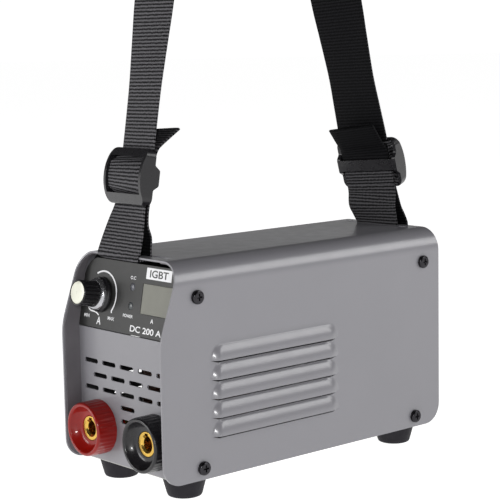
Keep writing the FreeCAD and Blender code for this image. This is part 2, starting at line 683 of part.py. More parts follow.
def fan_rotor():
    centre = case(0, 0, FAN_Z)
    back = FAN_Y0 + 3
    front = FAN_Y1 - 2.5
    middle = (back + front) / 2
    hub = rod(HUB_R, case(0, back, FAN_Z), case(0, front, FAN_Z))
    hub = hub.cut(rod(BEARING_R + 0.6, case(0, back - 1, FAN_Z), case(0, FAN_Y0 + 15, FAN_Z)))
    hub = hub.cut(rod(HUB_R - 2.5, case(0, back - 1, FAN_Z), case(0, back + 3, FAN_Z)))
    blades = []
    for turn in range(BLADE_COUNT):
        blade = block(-11.0, 11.0, middle - 0.8, middle + 0.8, FAN_Z + HUB_R - 1.5, FAN_Z + BLADE_TIP_R)
        blade.rotate(case(0, middle, FAN_Z), Z_AXIS, BLADE_PITCH)
        blade.rotate(centre, Y_AXIS, turn * 360.0 / BLADE_COUNT)
        blades.append(blade)
    keep = rod(BLADE_TIP_R, case(0, back + 0.5, FAN_Z), case(0, front, FAN_Z))
    keep = keep.cut(rod(HUB_R - 1, case(0, back, FAN_Z), case(0, FAN_Y1, FAN_Z)))
    axle = rod(AXLE_R, case(0, FAN_Y0 + 2, FAN_Z), case(0, FAN_Y0 + 18, FAN_Z))
    return fused([hub, axle] + [blade.common(keep) for blade in blades])


def fan_guard():
    """Concentric wire rings on four spokes, with an eye at each fan screw."""
    y = REAR_Y + 1.0
    half = 0.9
    rings = [Part.makeTorus(radius, GUARD_WIRE_R, case(0, y + 1.0, FAN_Z), Y_AXIS) for radius in GUARD_RINGS]
    spokes = []
    for x, z in fan_corners():
        direction = V(x, 0, z - FAN_Z).normalize()
        start = case(0, y, FAN_Z) + direction * (GUARD_RINGS[0] - 1.5)
        spokes.append(rod(GUARD_SPOKE_R, start, case(x, y, z) - direction * 3.0))
        eye = rod(GUARD_EYE_R, case(x, y - half, z), case(x, y + half, z))
        spokes.append(eye.cut(rod(FAN_HOLE_R, case(x, y - 1, z), case(x, y + 1, z))))
    return fused(rings + spokes)


def fan_screws():
    screws = []
    for x, z in fan_corners():
        screws.append(pan_screw(case(x, REAR_Y + 2.0, z), Y_AXIS, 4.0, 2.6, 2.0, 26.0))
    return Part.makeCompound(screws)


def switch_housing():
    x, z = SWITCH_AT
    rim_w, rim_h = SWITCH_RIM
    box_w, box_h = SWITCH_BOX
    well_w, well_h = SWITCH_WELL
    back = REAR_Y - SWITCH_DEPTH
    edge = rectangle(x - rim_w, x + rim_w, z - rim_h, z + rim_h, 1.5)
    rim = plate(edge, xz_plane(REAR_Y + 0.05), V(0, 2.0, 0))
    box = block(x - box_w, x + box_w, back, REAR_Y + 1, z - box_h, z + box_h)
    well = block(x - well_w, x + well_w, REAR_Y - 8.0, REAR_Y + 5, z - well_h, z + well_h)
    reach = box_w - 0.6
    pivot = rod(PIN_R + FIT, case(x - reach, REAR_Y - PIN_IN, z), case(x + reach, REAR_Y - PIN_IN, z))
    tabs = [block(x - 3.2, x + 3.2, back - 9, back + 0.5, z + dz - 0.4, z + dz + 0.4) for dz in (-8, 0, 8)]
    return fused([rim, box] + tabs).cut([well, pivot])


def switch_rocker():
    x, z = SWITCH_AT
    corners = [(REAR_Y + 4.6, z - 10.8, 0.5), (REAR_Y + 2.4, z, 0), (REAR_Y + 4.6, z + 10.8, 0.5),
               (REAR_Y - 4, z + 9, 1), (REAR_Y - 4, z - 9, 1)]
    half = SWITCH_WELL[0] - 0.3
    pin_half = SWITCH_BOX[0] - 0.8
    body = plate(corners, yz_plane(x - half), V(2 * half, 0, 0))
    pins = rod(PIN_R, case(x - pin_half, REAR_Y - PIN_IN, z), case(x + pin_half, REAR_Y - PIN_IN, z))
    rocker = fused([body, pins])
    rocker.rotate(case(x, REAR_Y - PIN_IN, z), X_AXIS, -SWITCH_TILT)
    return rocker


def cable_gland():
    """A hexagonal gland with a domed nut, its thread through the panel and its locknut inside."""
    x, z = GLAND_AT
    hexes = hexagon(20.0, case(x, REAR_Y + 0.05, z), case(x, REAR_Y + 5.5, z))
    reach = HALF_LENGTH - FRONT_Y - REAR_Y
    dome = turned([(0, 5.5), (9.8, 5.5), (9.8, 10.0), (8.9, 14.0), (7.0, reach), (0, reach)],
                  case(x, REAR_Y, z), Y_AXIS, X_AXIS)
    thread = rod(7.9, case(x, REAR_Y - 9, z), case(x, REAR_Y + 1, z))
    locknut = hexagon(22.0, case(x, REAR_Y - SHEET - 4.5, z), case(x, REAR_Y - SHEET - CLEAR, z))
    bore = rod(GLAND_BORE_R, case(x, REAR_Y - 10, z), case(x, REAR_Y + 40, z))
    return fused([hexes, dome, thread, locknut]).cut(bore)


def earth_screw():
    x, z = EARTH_AT
    return pan_screw(case(x, REAR_Y, z), Y_AXIS, 4.9, 3.4, 2.5, 9.0)


# Inside the case ---------------------------------------------------------------------------------------

def power_board():
    board = plate(rectangle(-BOARD_HALF, BOARD_HALF, *BOARD_Y, 2.0), xy_plane(BOARD_Z), V(0, 0, BOARD_T))
    return board.cut([rod(1.6, case(x, y, 0), case(x, y, 20)) for x, y in STANDOFFS])


def board_standoffs():
    low = FLOOR_Z + SHEET
    posts = []
    for x, y in STANDOFFS:
        foot_end = case(x, y, low)
        top_end = case(x, y, BOARD_Z)
        post = rod(STANDOFF_R, foot_end, top_end)
        posts.append(post.fuse(rod(1.5, top_end, case(x, y, BOARD_TOP + 1.5))).removeSplitter())
    return Part.makeCompound(posts)


def heatsink(side):
    """A finned heatsink: a wall that carries the devices, and fins that run along the airflow."""
    inner, outer = (side * x for x in HEATSINK_X)
    wall = sorted((outer, outer - side * HEATSINK_WALL))
    across = sorted((inner, outer))
    parts = [block(*wall, *HEATSINK_Y, BOARD_TOP, HEATSINK_TOP)]
    for fin in range(FIN_COUNT):
        z = BOARD_TOP + 2 + fin * FIN_PITCH
        parts.append(block(*across, *HEATSINK_Y, z, z + FIN_T))
    return fused(parts)


def power_semiconductors():
    """TO-247 devices standing on the board against the outer faces of the two heatsink walls."""
    thick, wide = DEVICE
    devices = []
    for side in (-1, 1):
        wall = side * (HEATSINK_X[1] + CLEAR)
        edge = sorted((wall, wall + side * thick))
        for y in DEVICE_YS:
            devices.append(block(*edge, y - wide / 2, y + wide / 2, *DEVICE_Z))
    return Part.makeCompound(devices)


def bulk_capacitors():
    cans = [rod(CAPACITOR_R, case(x, y, BOARD_TOP), case(x, y, CAPACITOR_TOP)) for x, y in CAPACITORS]
    return Part.makeCompound(cans)


def bridge_rectifier():
    x0, x1, y0, y1 = RECTIFIER
    x, y = (x0 + x1) / 2, (y0 + y1) / 2
    body = plate(rectangle(*RECTIFIER, 1.5), xy_plane(BOARD_TOP), V(0, 0, RECTIFIER_H))
    return body.cut(rod(2.2, case(x, y, 0), case(x, y, BOARD_TOP + RECTIFIER_H + 1)))


def transformer_core():
    """Two E-cores around a vertical middle limb."""
    low = BOARD_TOP + 2
    high = low + CORE_HEIGHT
    outer = block(*CORE_X, *CORE_Y, low, high)
    left = CORE_X[0] + CORE_LIMB
    right = CORE_X[1] - CORE_LIMB
    windows = []
    for x0, x1 in ((left, left + CORE_WINDOW), (right - CORE_WINDOW, right)):
        reach = (CORE_Y[0] - 5, CORE_Y[1] + 5)
        windows.append(block(x0, x1, *reach, low + CORE_LIMB + 0.5, high - CORE_LIMB - 0.5))
    return outer.cut(windows)


def transformer_winding():
    """The coil on the middle limb, a little clear of the core all round."""
    gap = 0.3
    low = BOARD_TOP + 2 + CORE_LIMB + 0.5 + gap
    high = BOARD_TOP + 2 + CORE_HEIGHT - CORE_LIMB - 0.5 - gap
    left = CORE_X[0] + CORE_LIMB
    right = CORE_X[1] - CORE_LIMB
    y0, y1 = CORE_Y
    outside = block(left + gap, right - gap, y0 - WINDING_OVERHANG, y1 + WINDING_OVERHANG, low, high)
    limb_room = block(left + CORE_WINDOW - gap, right - CORE_WINDOW + gap, y0 - gap, y1 + gap, 0, high + 10)
    return outside.cut(limb_room)


def output_choke():
    """A wound toroid standing on edge."""
    centre = case(*CHOKE_AT, BOARD_TOP + CHOKE_R + CHOKE_WIRE_R + 0.2)
    return Part.makeTorus(CHOKE_R, CHOKE_WIRE_R, centre, X_AXIS)


# Strap ----------------------------------------------------------------------------------------------------

class Leg:
    """A straight run of webbing: s along it from the pivot, a across it, n out of the loop."""

    def __init__(self, y, slope, twist, out):
        angle = math.radians(twist)
        self.base = case(0, y, PIVOT_Z)
        self.along = V(0, slope, 1).normalize()
        flat = X_AXIS
        self.across = flat * math.cos(angle) + self.along.cross(flat) * math.sin(angle)
        self.outward = self.along.cross(self.across) * out

    def point(self, a, s, n=0.0):
        return self.base + self.across * a + self.along * s + self.outward * n

    def strip(self, s0, s1, n0, n1, low_radius=0.0):
        half = WEB_WIDTH / 2
        corners = [(-half, s0, low_radius), (half, s0, low_radius), (half, s1, 0), (-half, s1, 0)]
        return plate(corners, lambda a, s: self.point(a, s, n0), self.outward * (n1 - n0))

    def prism(self, corners, a0, a1):
        """A solid with its outline in the leg's side view, given as (s, n, radius) corners."""
        return plate(corners, lambda s, n: self.point(a0, s, n), self.across * (a1 - a0))


LEGS = {"front": Leg(**FRONT_LEG), "rear": Leg(**REAR_LEG)}
HALF_WEB = WEB / 2
RETURN_N = (-HALF_WEB - WEB_GAP - WEB, -HALF_WEB - WEB_GAP)
OUTER_BAR_N = (HALF_WEB + WEB_GAP, HALF_WEB + WEB_GAP + OUTER_BAR_T)
INNER_BAR_N = (RETURN_N[0] - WEB_GAP - INNER_BAR_T, RETURN_N[0] - WEB_GAP)


def crown_arc():
    """The arc that joins both legs: its centre and the turn angles where the legs end."""
    lean_front = math.atan(FRONT_LEG["slope"])
    lean_rear = math.atan(-REAR_LEG["slope"])
    gap = REAR_LEG["y"] - FRONT_LEG["y"]
    gap -= CROWN_R / math.cos(lean_front) + CROWN_R / math.cos(lean_rear)
    rise = gap / (FRONT_LEG["slope"] - REAR_LEG["slope"])
    y = FRONT_LEG["y"] + CROWN_R / math.cos(lean_front) + FRONT_LEG["slope"] * rise
    return y, PIVOT_Z + rise, lean_front, lean_rear


def leg_length(name):
    """From the pivot to where the crown's arc starts."""
    y, z, lean_front, lean_rear = crown_arc()
    lean, side = (lean_front, -1) if name == "front" else (lean_rear, 1)
    end = case(0, y + side * CROWN_R * math.cos(lean), z + CROWN_R * math.sin(lean))
    return (end - LEGS[name].base).dot(LEGS[name].along)


def strap_leg(name):
    return LEGS[name].strip(-WEB_WIDTH / 2, leg_length(name), -HALF_WEB, HALF_WEB, WEB_WIDTH / 2 - 0.001)


def strap_crown():
    y, z, lean_front, lean_rear = crown_arc()
    angles = (math.pi - lean_front, (math.pi - lean_front + lean_rear) / 2, lean_rear)
    half = WEB_WIDTH / 2

    def arc(radius, order):
        points = [case(-half, y + radius * math.cos(t), z + radius * math.sin(t)) for t in order]
        return Part.Arc(*points).toShape()

    outer = arc(CROWN_R + HALF_WEB, angles)
    inner = arc(CROWN_R - HALF_WEB, angles[::-1])
    ends = [Part.makeLine(outer.Vertexes[-1].Point, inner.Vertexes[0].Point),
            Part.makeLine(inner.Vertexes[-1].Point, outer.Vertexes[0].Point)]
    return Part.Face(Part.Wire([outer, ends[0], inner, ends[1]])).extrude(V(WEB_WIDTH, 0, 0))


def strap_return(name):
    """The strand that comes back up from the slot into the buckle."""
    return LEGS[name].strip(-WEB_WIDTH / 2, BUCKLE_S[name] - 1.0, *RETURN_N, WEB_WIDTH / 2 - 0.001)


def strap_tail(name):
    """The free end above the buckle, bent away inside the loop."""
    s = BUCKLE_S[name] + 1.0
    near = RETURN_N[1]
    far = RETURN_N[0]
    up, inward = TAIL_END
    corners = [(s, near, 0), (s + TAIL_STRAIGHT, near, 2), (s + up, near - inward, 0),
               (s + up - 1, far - inward - 0.2, 0), (s + TAIL_STRAIGHT - 0.8, far, 2), (s, far, 0)]
    half = WEB_WIDTH / 2
    return LEGS[name].prism(corners, -half, half)


def buckle(name):
    """A bowed three-bar slider: outer bars at the ends, and a middle bar on the inner side."""
    leg = LEGS[name]
    mid = BUCKLE_S[name]
    s0, s1 = mid - BUCKLE_H / 2, mid + BUCKLE_H / 2
    a0, a1 = BUCKLE_SHIFT[name] - BUCKLE_W / 2, BUCKLE_SHIFT[name] + BUCKLE_W / 2
    inner, web_top, outer = INNER_BAR_N[0], OUTER_BAR_N[0], OUTER_BAR_N[1]
    crest = outer + BUCKLE_BOW
    back = inner + LUG_DEPTH
    tip, root = LUG_HALF
    side = [
        (s0, back, RAIL_END_R), (s0, outer, RAIL_END_R), (mid - BOW_HALF, crest, BOW_R),
        (mid + BOW_HALF, crest, BOW_R), (s1, outer, RAIL_END_R), (s1, back, RAIL_END_R),
        (mid + root, back, LUG_R), (mid + tip, inner, LUG_R), (mid - tip, inner, LUG_R),
        (mid - root, back, LUG_R),
    ]
    face = rectangle(a0, a1, s0, s1, BUCKLE_CORNER_R)
    shape = leg.prism(side, a0, a1)
    through = leg.outward * (crest - inner + 2)
    shape = shape.common(plate(face, lambda a, s: leg.point(a, s, inner - 1), through))
    bar = MIDDLE_BAR_H / 2
    openings = [
        (s0 + LOW_BAR_H, s1 - HIGH_BAR_H, INNER_BAR_N[1], crest + 1),
        (s0 - 1, mid - bar, inner - 1, web_top),
        (mid + bar, s1 + 1, inner - 1, web_top),
    ]
    for low, high, n0, n1 in openings:
        shape = shape.cut(leg.prism(rectangle(low, high, n0, n1), a0 + RAIL, a1 - RAIL))
    return shape


def strap_anchor(name):
    """The webbing round the strip of cover between its end edge and the slot."""
    x, outer, inner = ANCHORS[name]
    edge_top = HEIGHT + ANCHOR_TOP
    low = HEIGHT - SHEET - WEB_GAP - WEB
    sign = 1 if inner > outer else -1
    corners = [
        (outer, low, 1.6), (inner, low, 1.6), (inner, edge_top, 0), (inner - sign * WEB, edge_top, 0),
        (inner - sign * WEB, low + WEB, 0), (outer + sign * WEB, low + WEB, 0),
        (outer + sign * WEB, edge_top, 0), (outer, edge_top, 0),
    ]
    return plate(corners, yz_plane(x - WEB_WIDTH / 2), V(WEB_WIDTH, 0, 0))


PARTS = {
    "cover": cover,
    "base_chassis": base_chassis,
    "front_panel": front_panel,
    "front_bezel": front_bezel,
    "control_panel": control_panel,
    "display_lens": display_lens,
    "display_module": display_module,
    "control_board": control_board,
    "panel_label": panel_label,
    "current_knob": current_knob,
    "knob_cap": knob_cap,
    "potentiometer": potentiometer,
    "pot_shaft": pot_shaft,
    "socket_body_positive": lambda: socket_body(-SOCKET_X),
    "socket_body_negative": lambda: socket_body(SOCKET_X),
    "socket_insert_positive": lambda: socket_insert(-SOCKET_X),
    "socket_insert_negative": lambda: socket_insert(SOCKET_X),
    "socket_locknuts": socket_locknuts,
    "busbar_nuts": busbar_nuts,
    "busbar_positive": lambda: busbar(-SOCKET_X),
    "busbar_negative": lambda: busbar(SOCKET_X),
    "side_screws": side_screws,
    "foot_screws": foot_screws,
    "rear_panel": rear_panel,
    "fan_frame": fan_frame,
    "fan_rotor": fan_rotor,
    "fan_guard": fan_guard,
    "fan_screws": fan_screws,
    "switch_housing": switch_housing,
    "switch_rocker": switch_rocker,
    "cable_gland": cable_gland,
    "earth_screw": earth_screw,
    "power_board": power_board,
    "board_standoffs": board_standoffs,
    "heatsink_primary": lambda: heatsink(-1),
    "heatsink_secondary": lambda: heatsink(1),
    "power_semiconductors": power_semiconductors,
    "bulk_capacitors": bulk_capacitors,
    "bridge_rectifier": bridge_rectifier,
    "transformer_core": transformer_core,
    "transformer_winding": transformer_winding,
    "output_choke": output_choke,
    "strap_crown": strap_crown,
}
for led, place in LED_PLACES.items():
    PARTS[led] = lambda place=place: indicator(place)
for end, foot_y in FOOT_YS.items():
    for hand, sign in (("left", -1), ("right", 1)):
        PARTS["foot_" + end + "_" + hand] = lambda x=sign * FOOT_X, y=foot_y: foot(x, y)
for end in ("front", "rear"):
    PARTS["strap_anchor_" + end] = lambda name=end: strap_anchor(name)
    PARTS["strap_leg_" + end] = lambda name=end: strap_leg(name)
    PARTS["strap_return_" + end] = lambda name=end: strap_return(name)
    PARTS["strap_tail_" + end] = lambda name=end: strap_tail(name)
    PARTS["buckle_" + end] = lambda name=end: buckle(name)


def main():
    os.makedirs("parts", exist_ok=True)
    for name, make in PARTS.items():
        shape = make()
        shape.exportStep("parts/" + name + ".step")
        box = shape.BoundBox
        print("%-24s valid %s solids %2d volume %9.0f  x %7.2f %7.2f  y %7.2f %7.2f  z %7.2f %7.2f" % (
            name, shape.isValid(), len(shape.Solids), shape.Volume,
            box.XMin, box.XMax, box.YMin, box.YMax, box.ZMin, box.ZMax))
    print(len(PARTS), "sub-parts")


main()
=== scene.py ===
"""Stick welding inverter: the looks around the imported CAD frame.

Case coordinates are millimetres: x from the middle plane, y from the cover's front edge and z
from the cover's lower edge. case() turns them into Blender's metres in the row frame.
"""
import json
import math

import bmesh
import bpy
from mathutils import Matrix, Vector


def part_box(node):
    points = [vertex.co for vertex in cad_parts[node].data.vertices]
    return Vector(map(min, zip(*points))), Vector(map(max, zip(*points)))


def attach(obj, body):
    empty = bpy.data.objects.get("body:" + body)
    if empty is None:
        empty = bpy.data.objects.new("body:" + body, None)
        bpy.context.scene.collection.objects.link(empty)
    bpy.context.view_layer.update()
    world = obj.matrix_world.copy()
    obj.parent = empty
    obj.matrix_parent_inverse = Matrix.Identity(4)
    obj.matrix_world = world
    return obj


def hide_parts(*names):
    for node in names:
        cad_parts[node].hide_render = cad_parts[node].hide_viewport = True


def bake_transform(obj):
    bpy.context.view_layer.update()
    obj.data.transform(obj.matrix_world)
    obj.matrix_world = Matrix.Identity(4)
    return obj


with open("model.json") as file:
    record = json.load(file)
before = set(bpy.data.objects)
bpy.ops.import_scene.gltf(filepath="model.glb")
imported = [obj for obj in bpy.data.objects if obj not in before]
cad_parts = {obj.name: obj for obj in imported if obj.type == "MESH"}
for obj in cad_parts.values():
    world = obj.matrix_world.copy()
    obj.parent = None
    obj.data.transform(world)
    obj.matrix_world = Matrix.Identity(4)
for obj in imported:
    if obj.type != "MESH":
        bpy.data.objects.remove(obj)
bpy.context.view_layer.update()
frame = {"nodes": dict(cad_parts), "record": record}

MM = 0.001
COVER_LOW, COVER_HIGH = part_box("cover")
LENGTH = (COVER_HIGH.y - COVER_LOW.y) / MM
HEIGHT = (COVER_HIGH.z - COVER_LOW.z) / MM
SHARP = 35.0                   # degrees: edges that bend more than this shade sharp


def case(x, y, z):
    """A place in case millimetres as Blender's metres."""
    return Vector((x * MM, COVER_LOW.y + y * MM, COVER_LOW.z + z * MM))


# Camera ---------------------------------------------------------------------------------------

VIEW_AZIMUTH = 48.864          # degrees from the front towards the right side
VIEW_ELEVATION = 7.697
VIEW_ROLL = -1.075
VIEW_DISTANCE = 1112.1
VIEW_TARGET = (0.0, 122.3, 135.1)
FOCAL_LENGTH = 115.6
SENSOR_WIDTH = 36.0
CLIP_END = 20.0                # metres


def make_camera():
    azimuth, elevation, roll = (math.radians(a) for a in (VIEW_AZIMUTH, VIEW_ELEVATION, VIEW_ROLL))
    back = Vector((math.sin(azimuth) * math.cos(elevation), -math.cos(azimuth) * math.cos(elevation),
                   math.sin(elevation)))
    level = (-back).cross(Vector((0, 0, 1))).normalized()
    upright = back.cross(level)
    right = level * math.cos(roll) + upright * math.sin(roll)
    up = upright * math.cos(roll) - level * math.sin(roll)
    camera = bpy.data.objects.new("camera", bpy.data.cameras.new("camera"))
    camera.data.lens = FOCAL_LENGTH
    camera.data.sensor_width = SENSOR_WIDTH
    camera.data.clip_end = CLIP_END
    place = Matrix((right, up, back)).transposed().to_4x4()
    place.translation = case(*VIEW_TARGET) + back * VIEW_DISTANCE * MM
    camera.matrix_world = place
    bpy.context.scene.collection.objects.link(camera)
    bpy.context.scene.camera = camera


make_camera()


# Materials ------------------------------------------------------------------------------------

RIB_PITCH = 2.3                # webbing ribs, in millimetres
THREAD_SCALE = 262.0           # the webbing's threads, about 1.2 mm apart


def srgb(r, g, b):
    """An sRGB colour from 0 to 255 as Blender's linear one."""
    linear = [((c / 255 + 0.055) / 1.055) ** 2.4 if c > 10 else c / 255 / 12.92 for c in (r, g, b)]
    return (*linear, 1.0)


class Shader:
    """A Principled material with object-space noise for colour, roughness and bump."""

    def __init__(self, name, colour, rough, metallic=0.0, **sockets):
        self.material = bpy.data.materials.new(name)
        self.material.use_nodes = True
        self.tree = self.material.node_tree
        self.shader = self.tree.nodes["Principled BSDF"]
        self.colour = colour
        self.rough = rough
        self.shader.inputs["Base Color"].default_value = colour
        self.shader.inputs["Roughness"].default_value = rough
        self.shader.inputs["Metallic"].default_value = metallic
        for socket, value in sockets.items():
            self.shader.inputs[socket.replace("_", " ")].default_value = value
        self.normal = None
        self.place = self.node("ShaderNodeTexCoord").outputs["Object"]

    def node(self, kind, **settings):
        made = self.tree.nodes.new(kind)
        for name, value in settings.items():
            setattr(made, name, value)
        return made

    def link(self, a, b):
        self.tree.links.new(a, b)

    def noise(self, size_mm, detail=2.0, stretch=(1, 1, 1)):
        """Noise with features of about size_mm."""
        texture = self.node("ShaderNodeTexNoise")
        texture.inputs["Scale"].default_value = 1000.0 / size_mm
        texture.inputs["Detail"].default_value = detail
        source = self.place
        if stretch != (1, 1, 1):
            mapping = self.node("ShaderNodeMapping")
            mapping.inputs["Scale"].default_value = stretch
            self.link(source, mapping.inputs["Vector"])
            source = mapping.outputs["Vector"]
        self.link(source, texture.inputs["Vector"])
        return texture.outputs["Fac"]

    def spread(self, value, low, high):
        """Stretches the middle of a noise from low to high."""
        ramp = self.node("ShaderNodeMapRange")
        ramp.inputs["From Min"].default_value = 0.3
        ramp.inputs["From Max"].default_value = 0.7
        ramp.inputs["To Min"].default_value = low
        ramp.inputs["To Max"].default_value = high
        self.link(value, ramp.inputs["Value"])
        return ramp.outputs["Result"]

    def mottle(self, value, amount):
        """Blends the colour with a darker one by value."""
        mix = self.node("ShaderNodeMix", data_type="RGBA")
        dark = (*(c * (1 - amount) for c in self.colour[:3]), 1.0)
        mix.inputs[6].default_value = self.colour
        mix.inputs[7].default_value = dark
        self.link(self.spread(value, 0.0, 1.0), mix.inputs[0])
        self.link(mix.outputs[2], self.shader.inputs["Base Color"])

    def polish(self, value, amount):
        """Varies the roughness by amount each way."""
        rough = self.spread(value, self.rough - amount, self.rough + amount)
        self.link(rough, self.shader.inputs["Roughness"])

    def bump(self, value, depth_mm, strength):
        """Adds relief on top of any that is already there."""
        bump = self.node("ShaderNodeBump")
        bump.inputs["Strength"].default_value = strength
        bump.inputs["Distance"].default_value = depth_mm * MM
        self.link(value, bump.inputs["Height"])
        if self.normal is not None:
            self.link(self.normal, bump.inputs["Normal"])
        self.normal = bump.outputs["Normal"]
        self.link(self.normal, self.shader.inputs["Normal"])


def powder_coat(name, colour):
    """Fine orange-peel paint under a satin coat."""
    m = Shader(name, colour, 0.4, Coat_Weight=0.7, Coat_Roughness=0.21)
    m.mottle(m.noise(55.0), 0.03)
    m.polish(m.noise(9.0), 0.04)
    m.bump(m.noise(0.9, 3.0), 0.03, 0.35)
    return m.material


def moulded(name, colour, rough, grain=0.6, depth=0.02, **sockets):
    """Plastic or rubber with a grain of the given size and depth in millimetres."""
    m = Shader(name, colour, rough, **sockets)
    m.mottle(m.noise(14.0), 0.18)
    m.polish(m.noise(4.0), 0.05)
    m.bump(m.noise(grain, 2.0), depth, 0.4)
    return m.material


def machined(name, colour, rough, stretch=(1, 1, 1)):
    """Bare metal with fine marks, drawn out along the axes where stretch is below 1."""
    m = Shader(name, colour, rough, metallic=1.0)
    m.mottle(m.noise(6.0), 0.25)
    m.polish(m.noise(1.6, 4.0, stretch), 0.1)
    m.bump(m.noise(0.35, 2.0, stretch), 0.01, 0.3)
    return m.material


def webbing_material():
    """Woven polypropylene, from its lit face (u near 0) to painted shade on its back, tails and rear runs
    (u near 1 m).
    """
    m = Shader("webbing", srgb(101, 100, 103), 0.6, Specular_IOR_Level=0.05)
    m.place = m.node("ShaderNodeUVMap").outputs["UV"]
    threads = m.node("ShaderNodeTexWave", bands_direction="X")
    threads.inputs["Scale"].default_value = THREAD_SCALE
    threads.inputs["Distortion"].default_value = 0.6
    m.link(m.place, threads.inputs["Vector"])
    ribs = m.node("ShaderNodeTexWave", bands_direction="Y")
    ribs.inputs["Scale"].default_value = 314.16 / RIB_PITCH
    ribs.inputs["Phase Offset"].default_value = math.pi
    ribs.inputs["Distortion"].default_value = 1.1
    ribs.inputs["Detail Scale"].default_value = 2.0
    m.link(m.place, ribs.inputs["Vector"])
    weave = m.node("ShaderNodeMath", operation="MULTIPLY_ADD")
    weave.inputs[1].default_value = 0.4
    m.link(threads.outputs["Fac"], weave.inputs[0])
    m.link(ribs.outputs["Fac"], weave.inputs[2])
    weave_and_groove_shade = m.node("ShaderNodeMath", operation="ADD")
    m.link(m.noise(1.3, 3.0), weave_and_groove_shade.inputs[0])
    m.link(weave.outputs["Value"], weave_and_groove_shade.inputs[1])
    across = m.node("ShaderNodeSeparateXYZ")
    m.link(m.place, across.inputs["Vector"])
    # painted shade: the lit face colour turns to a near-black shade colour as u grows
    lit_or_painted_shade = m.node("ShaderNodeMix", data_type="RGBA")
    lit_or_painted_shade.inputs[6].default_value = m.colour
    lit_or_painted_shade.inputs[7].default_value = srgb(24, 24, 26)
    m.link(across.outputs["X"], lit_or_painted_shade.inputs[0])
    # painted shade in the rib valleys, together with the weave's threads and random patches, mixes toward
    # near-black
    mix = m.node("ShaderNodeMix", data_type="RGBA")
    mix.inputs[6].default_value = srgb(5, 5, 6)
    m.link(lit_or_painted_shade.outputs[2], mix.inputs[7])
    share = m.node("ShaderNodeMapRange")
    share.inputs["From Min"].default_value = 0.75
    share.inputs["From Max"].default_value = 1.85
    m.link(weave_and_groove_shade.outputs["Value"], share.inputs["Value"])
    m.link(share.outputs["Result"], mix.inputs[0])
    m.link(mix.outputs[2], m.shader.inputs["Base Color"])
    m.bump(threads.outputs["Fac"], 0.15, 0.4)
    m.bump(m.noise(0.5, 2.0), 0.06, 0.4)
    return m.material


def solder_mask():
    m = Shader("solder_mask", srgb(24, 92, 48), 0.3)
    m.mottle(m.noise(2.2, 1.0), 0.45)
    m.bump(m.noise(1.2, 1.0), 0.03, 0.4)
    return m.material


def smoked_lens():
    m = Shader("smoked_lens", srgb(140, 140, 131), 0.16, Transmission_Weight=0.25, IOR=1.49)
    m.mottle(m.noise(9.0), 0.08)
    m.bump(m.noise(3.0), 0.01, 0.2)
    return m.material


def wound(name, colour, pitch_mm):
    """Enamelled wire laid side by side. A wave of scale 314 repeats every millimetre."""
    m = Shader(name, colour, 0.35, metallic=0.6)
    wave = m.node("ShaderNodeTexWave", bands_direction="Z")
    wave.inputs["Scale"].default_value = 314.0 / pitch_mm
    m.link(m.place, wave.inputs["Vector"])
    m.mottle(m.noise(3.0), 0.3)
    m.bump(wave.outputs["Fac"], 0.5, 0.8)
    return m.material


GREY = powder_coat("grey_paint", srgb(123, 122, 127))
MATERIALS = {
    "grey_paint": GREY,
    "plated_steel": machined("plated_steel", srgb(190, 190, 186), 0.3),
    "black_plastic": moulded("black_plastic", srgb(58, 57, 60), 0.38),
    "panel_black": moulded("panel_black", srgb(37, 37, 36), 0.4, 0.8, 0.01),
    "smoke_lens": smoked_lens(),
    "circuit_board": solder_mask(),
    "white_print": moulded("white_print", srgb(236, 236, 238), 0.45, 0.5, 0.005),
    "cream_plastic": moulded("cream_plastic", srgb(234, 234, 218), 0.3, 1.0, 0.01),
    "red_plastic": moulded("red_plastic", srgb(137, 13, 5), 0.36, 1.2, 0.02, Specular_IOR_Level=0.2,
                           Coat_Weight=0.45, Coat_Roughness=0.06),
    "black_gloss": moulded("black_gloss", srgb(24, 23, 26), 0.3, 1.2, 0.015, Specular_IOR_Level=0.4,
                           Coat_Weight=0.2, Coat_Roughness=0.1),
    "brass": machined("brass", srgb(240, 196, 96), 0.2),
    "copper": machined("copper", srgb(196, 120, 84), 0.35),
    "black_steel": machined("black_steel", srgb(60, 59, 62), 0.2),
    "rubber": moulded("rubber", srgb(25, 23, 29), 0.62, 0.5, 0.03, Specular_IOR_Level=0.25),
    "aluminium": machined("aluminium", srgb(204, 204, 206), 0.34, (1, 0.05, 1)),
    "ferrite": moulded("ferrite", srgb(58, 58, 60), 0.55, 0.4, 0.03),
    "winding": wound("winding", srgb(84, 46, 28), 1.1),
    "capacitor_sleeve": moulded("capacitor_sleeve", srgb(28, 32, 58), 0.3, 1.5, 0.01),
    "led_green": moulded("led_green", srgb(66, 70, 72), 0.3, 0.8, 0.01),
    "led_amber": moulded("led_amber", srgb(82, 83, 90), 0.3, 0.8, 0.01),
    "webbing": webbing_material(),
}
CHROME = machined("bright_ring", srgb(196, 196, 200), 0.22)
TRIM = moulded("dark_trim", srgb(98, 95, 99), 0.5)
# painted shade: a dark tone on the case's inner faces, standing in for the shade inside
PAINTED_INSIDE_SHADE = moulded("painted_inside_shade", srgb(34, 34, 36), 0.75)
NODE_SLOT = {row["node"]: row["material_slot"] for row in frame["record"]["subparts"]}


# Mesh helpers ---------------------------------------------------------------------------------

CAD_WELD = 2e-6                # metres: closer points of a CAD mesh are one
AXIS_WELD = 1e-7               # metres: joins a turned outline's points on its axis
FLAT_ANGLE = math.radians(1.0)


def body_of(node):
    for body, nodes in frame["record"]["behaviour"]["bodies"].items():
        if node in nodes:
            return body
    raise KeyError(node)


def link_mesh(name, mesh, material):
    """A new piece of the scene from a mesh, in one material."""
    mesh.materials.clear()
    mesh.materials.append(material)
    piece = bpy.data.objects.new(name, mesh)
    bpy.context.scene.collection.objects.link(piece)
    return piece


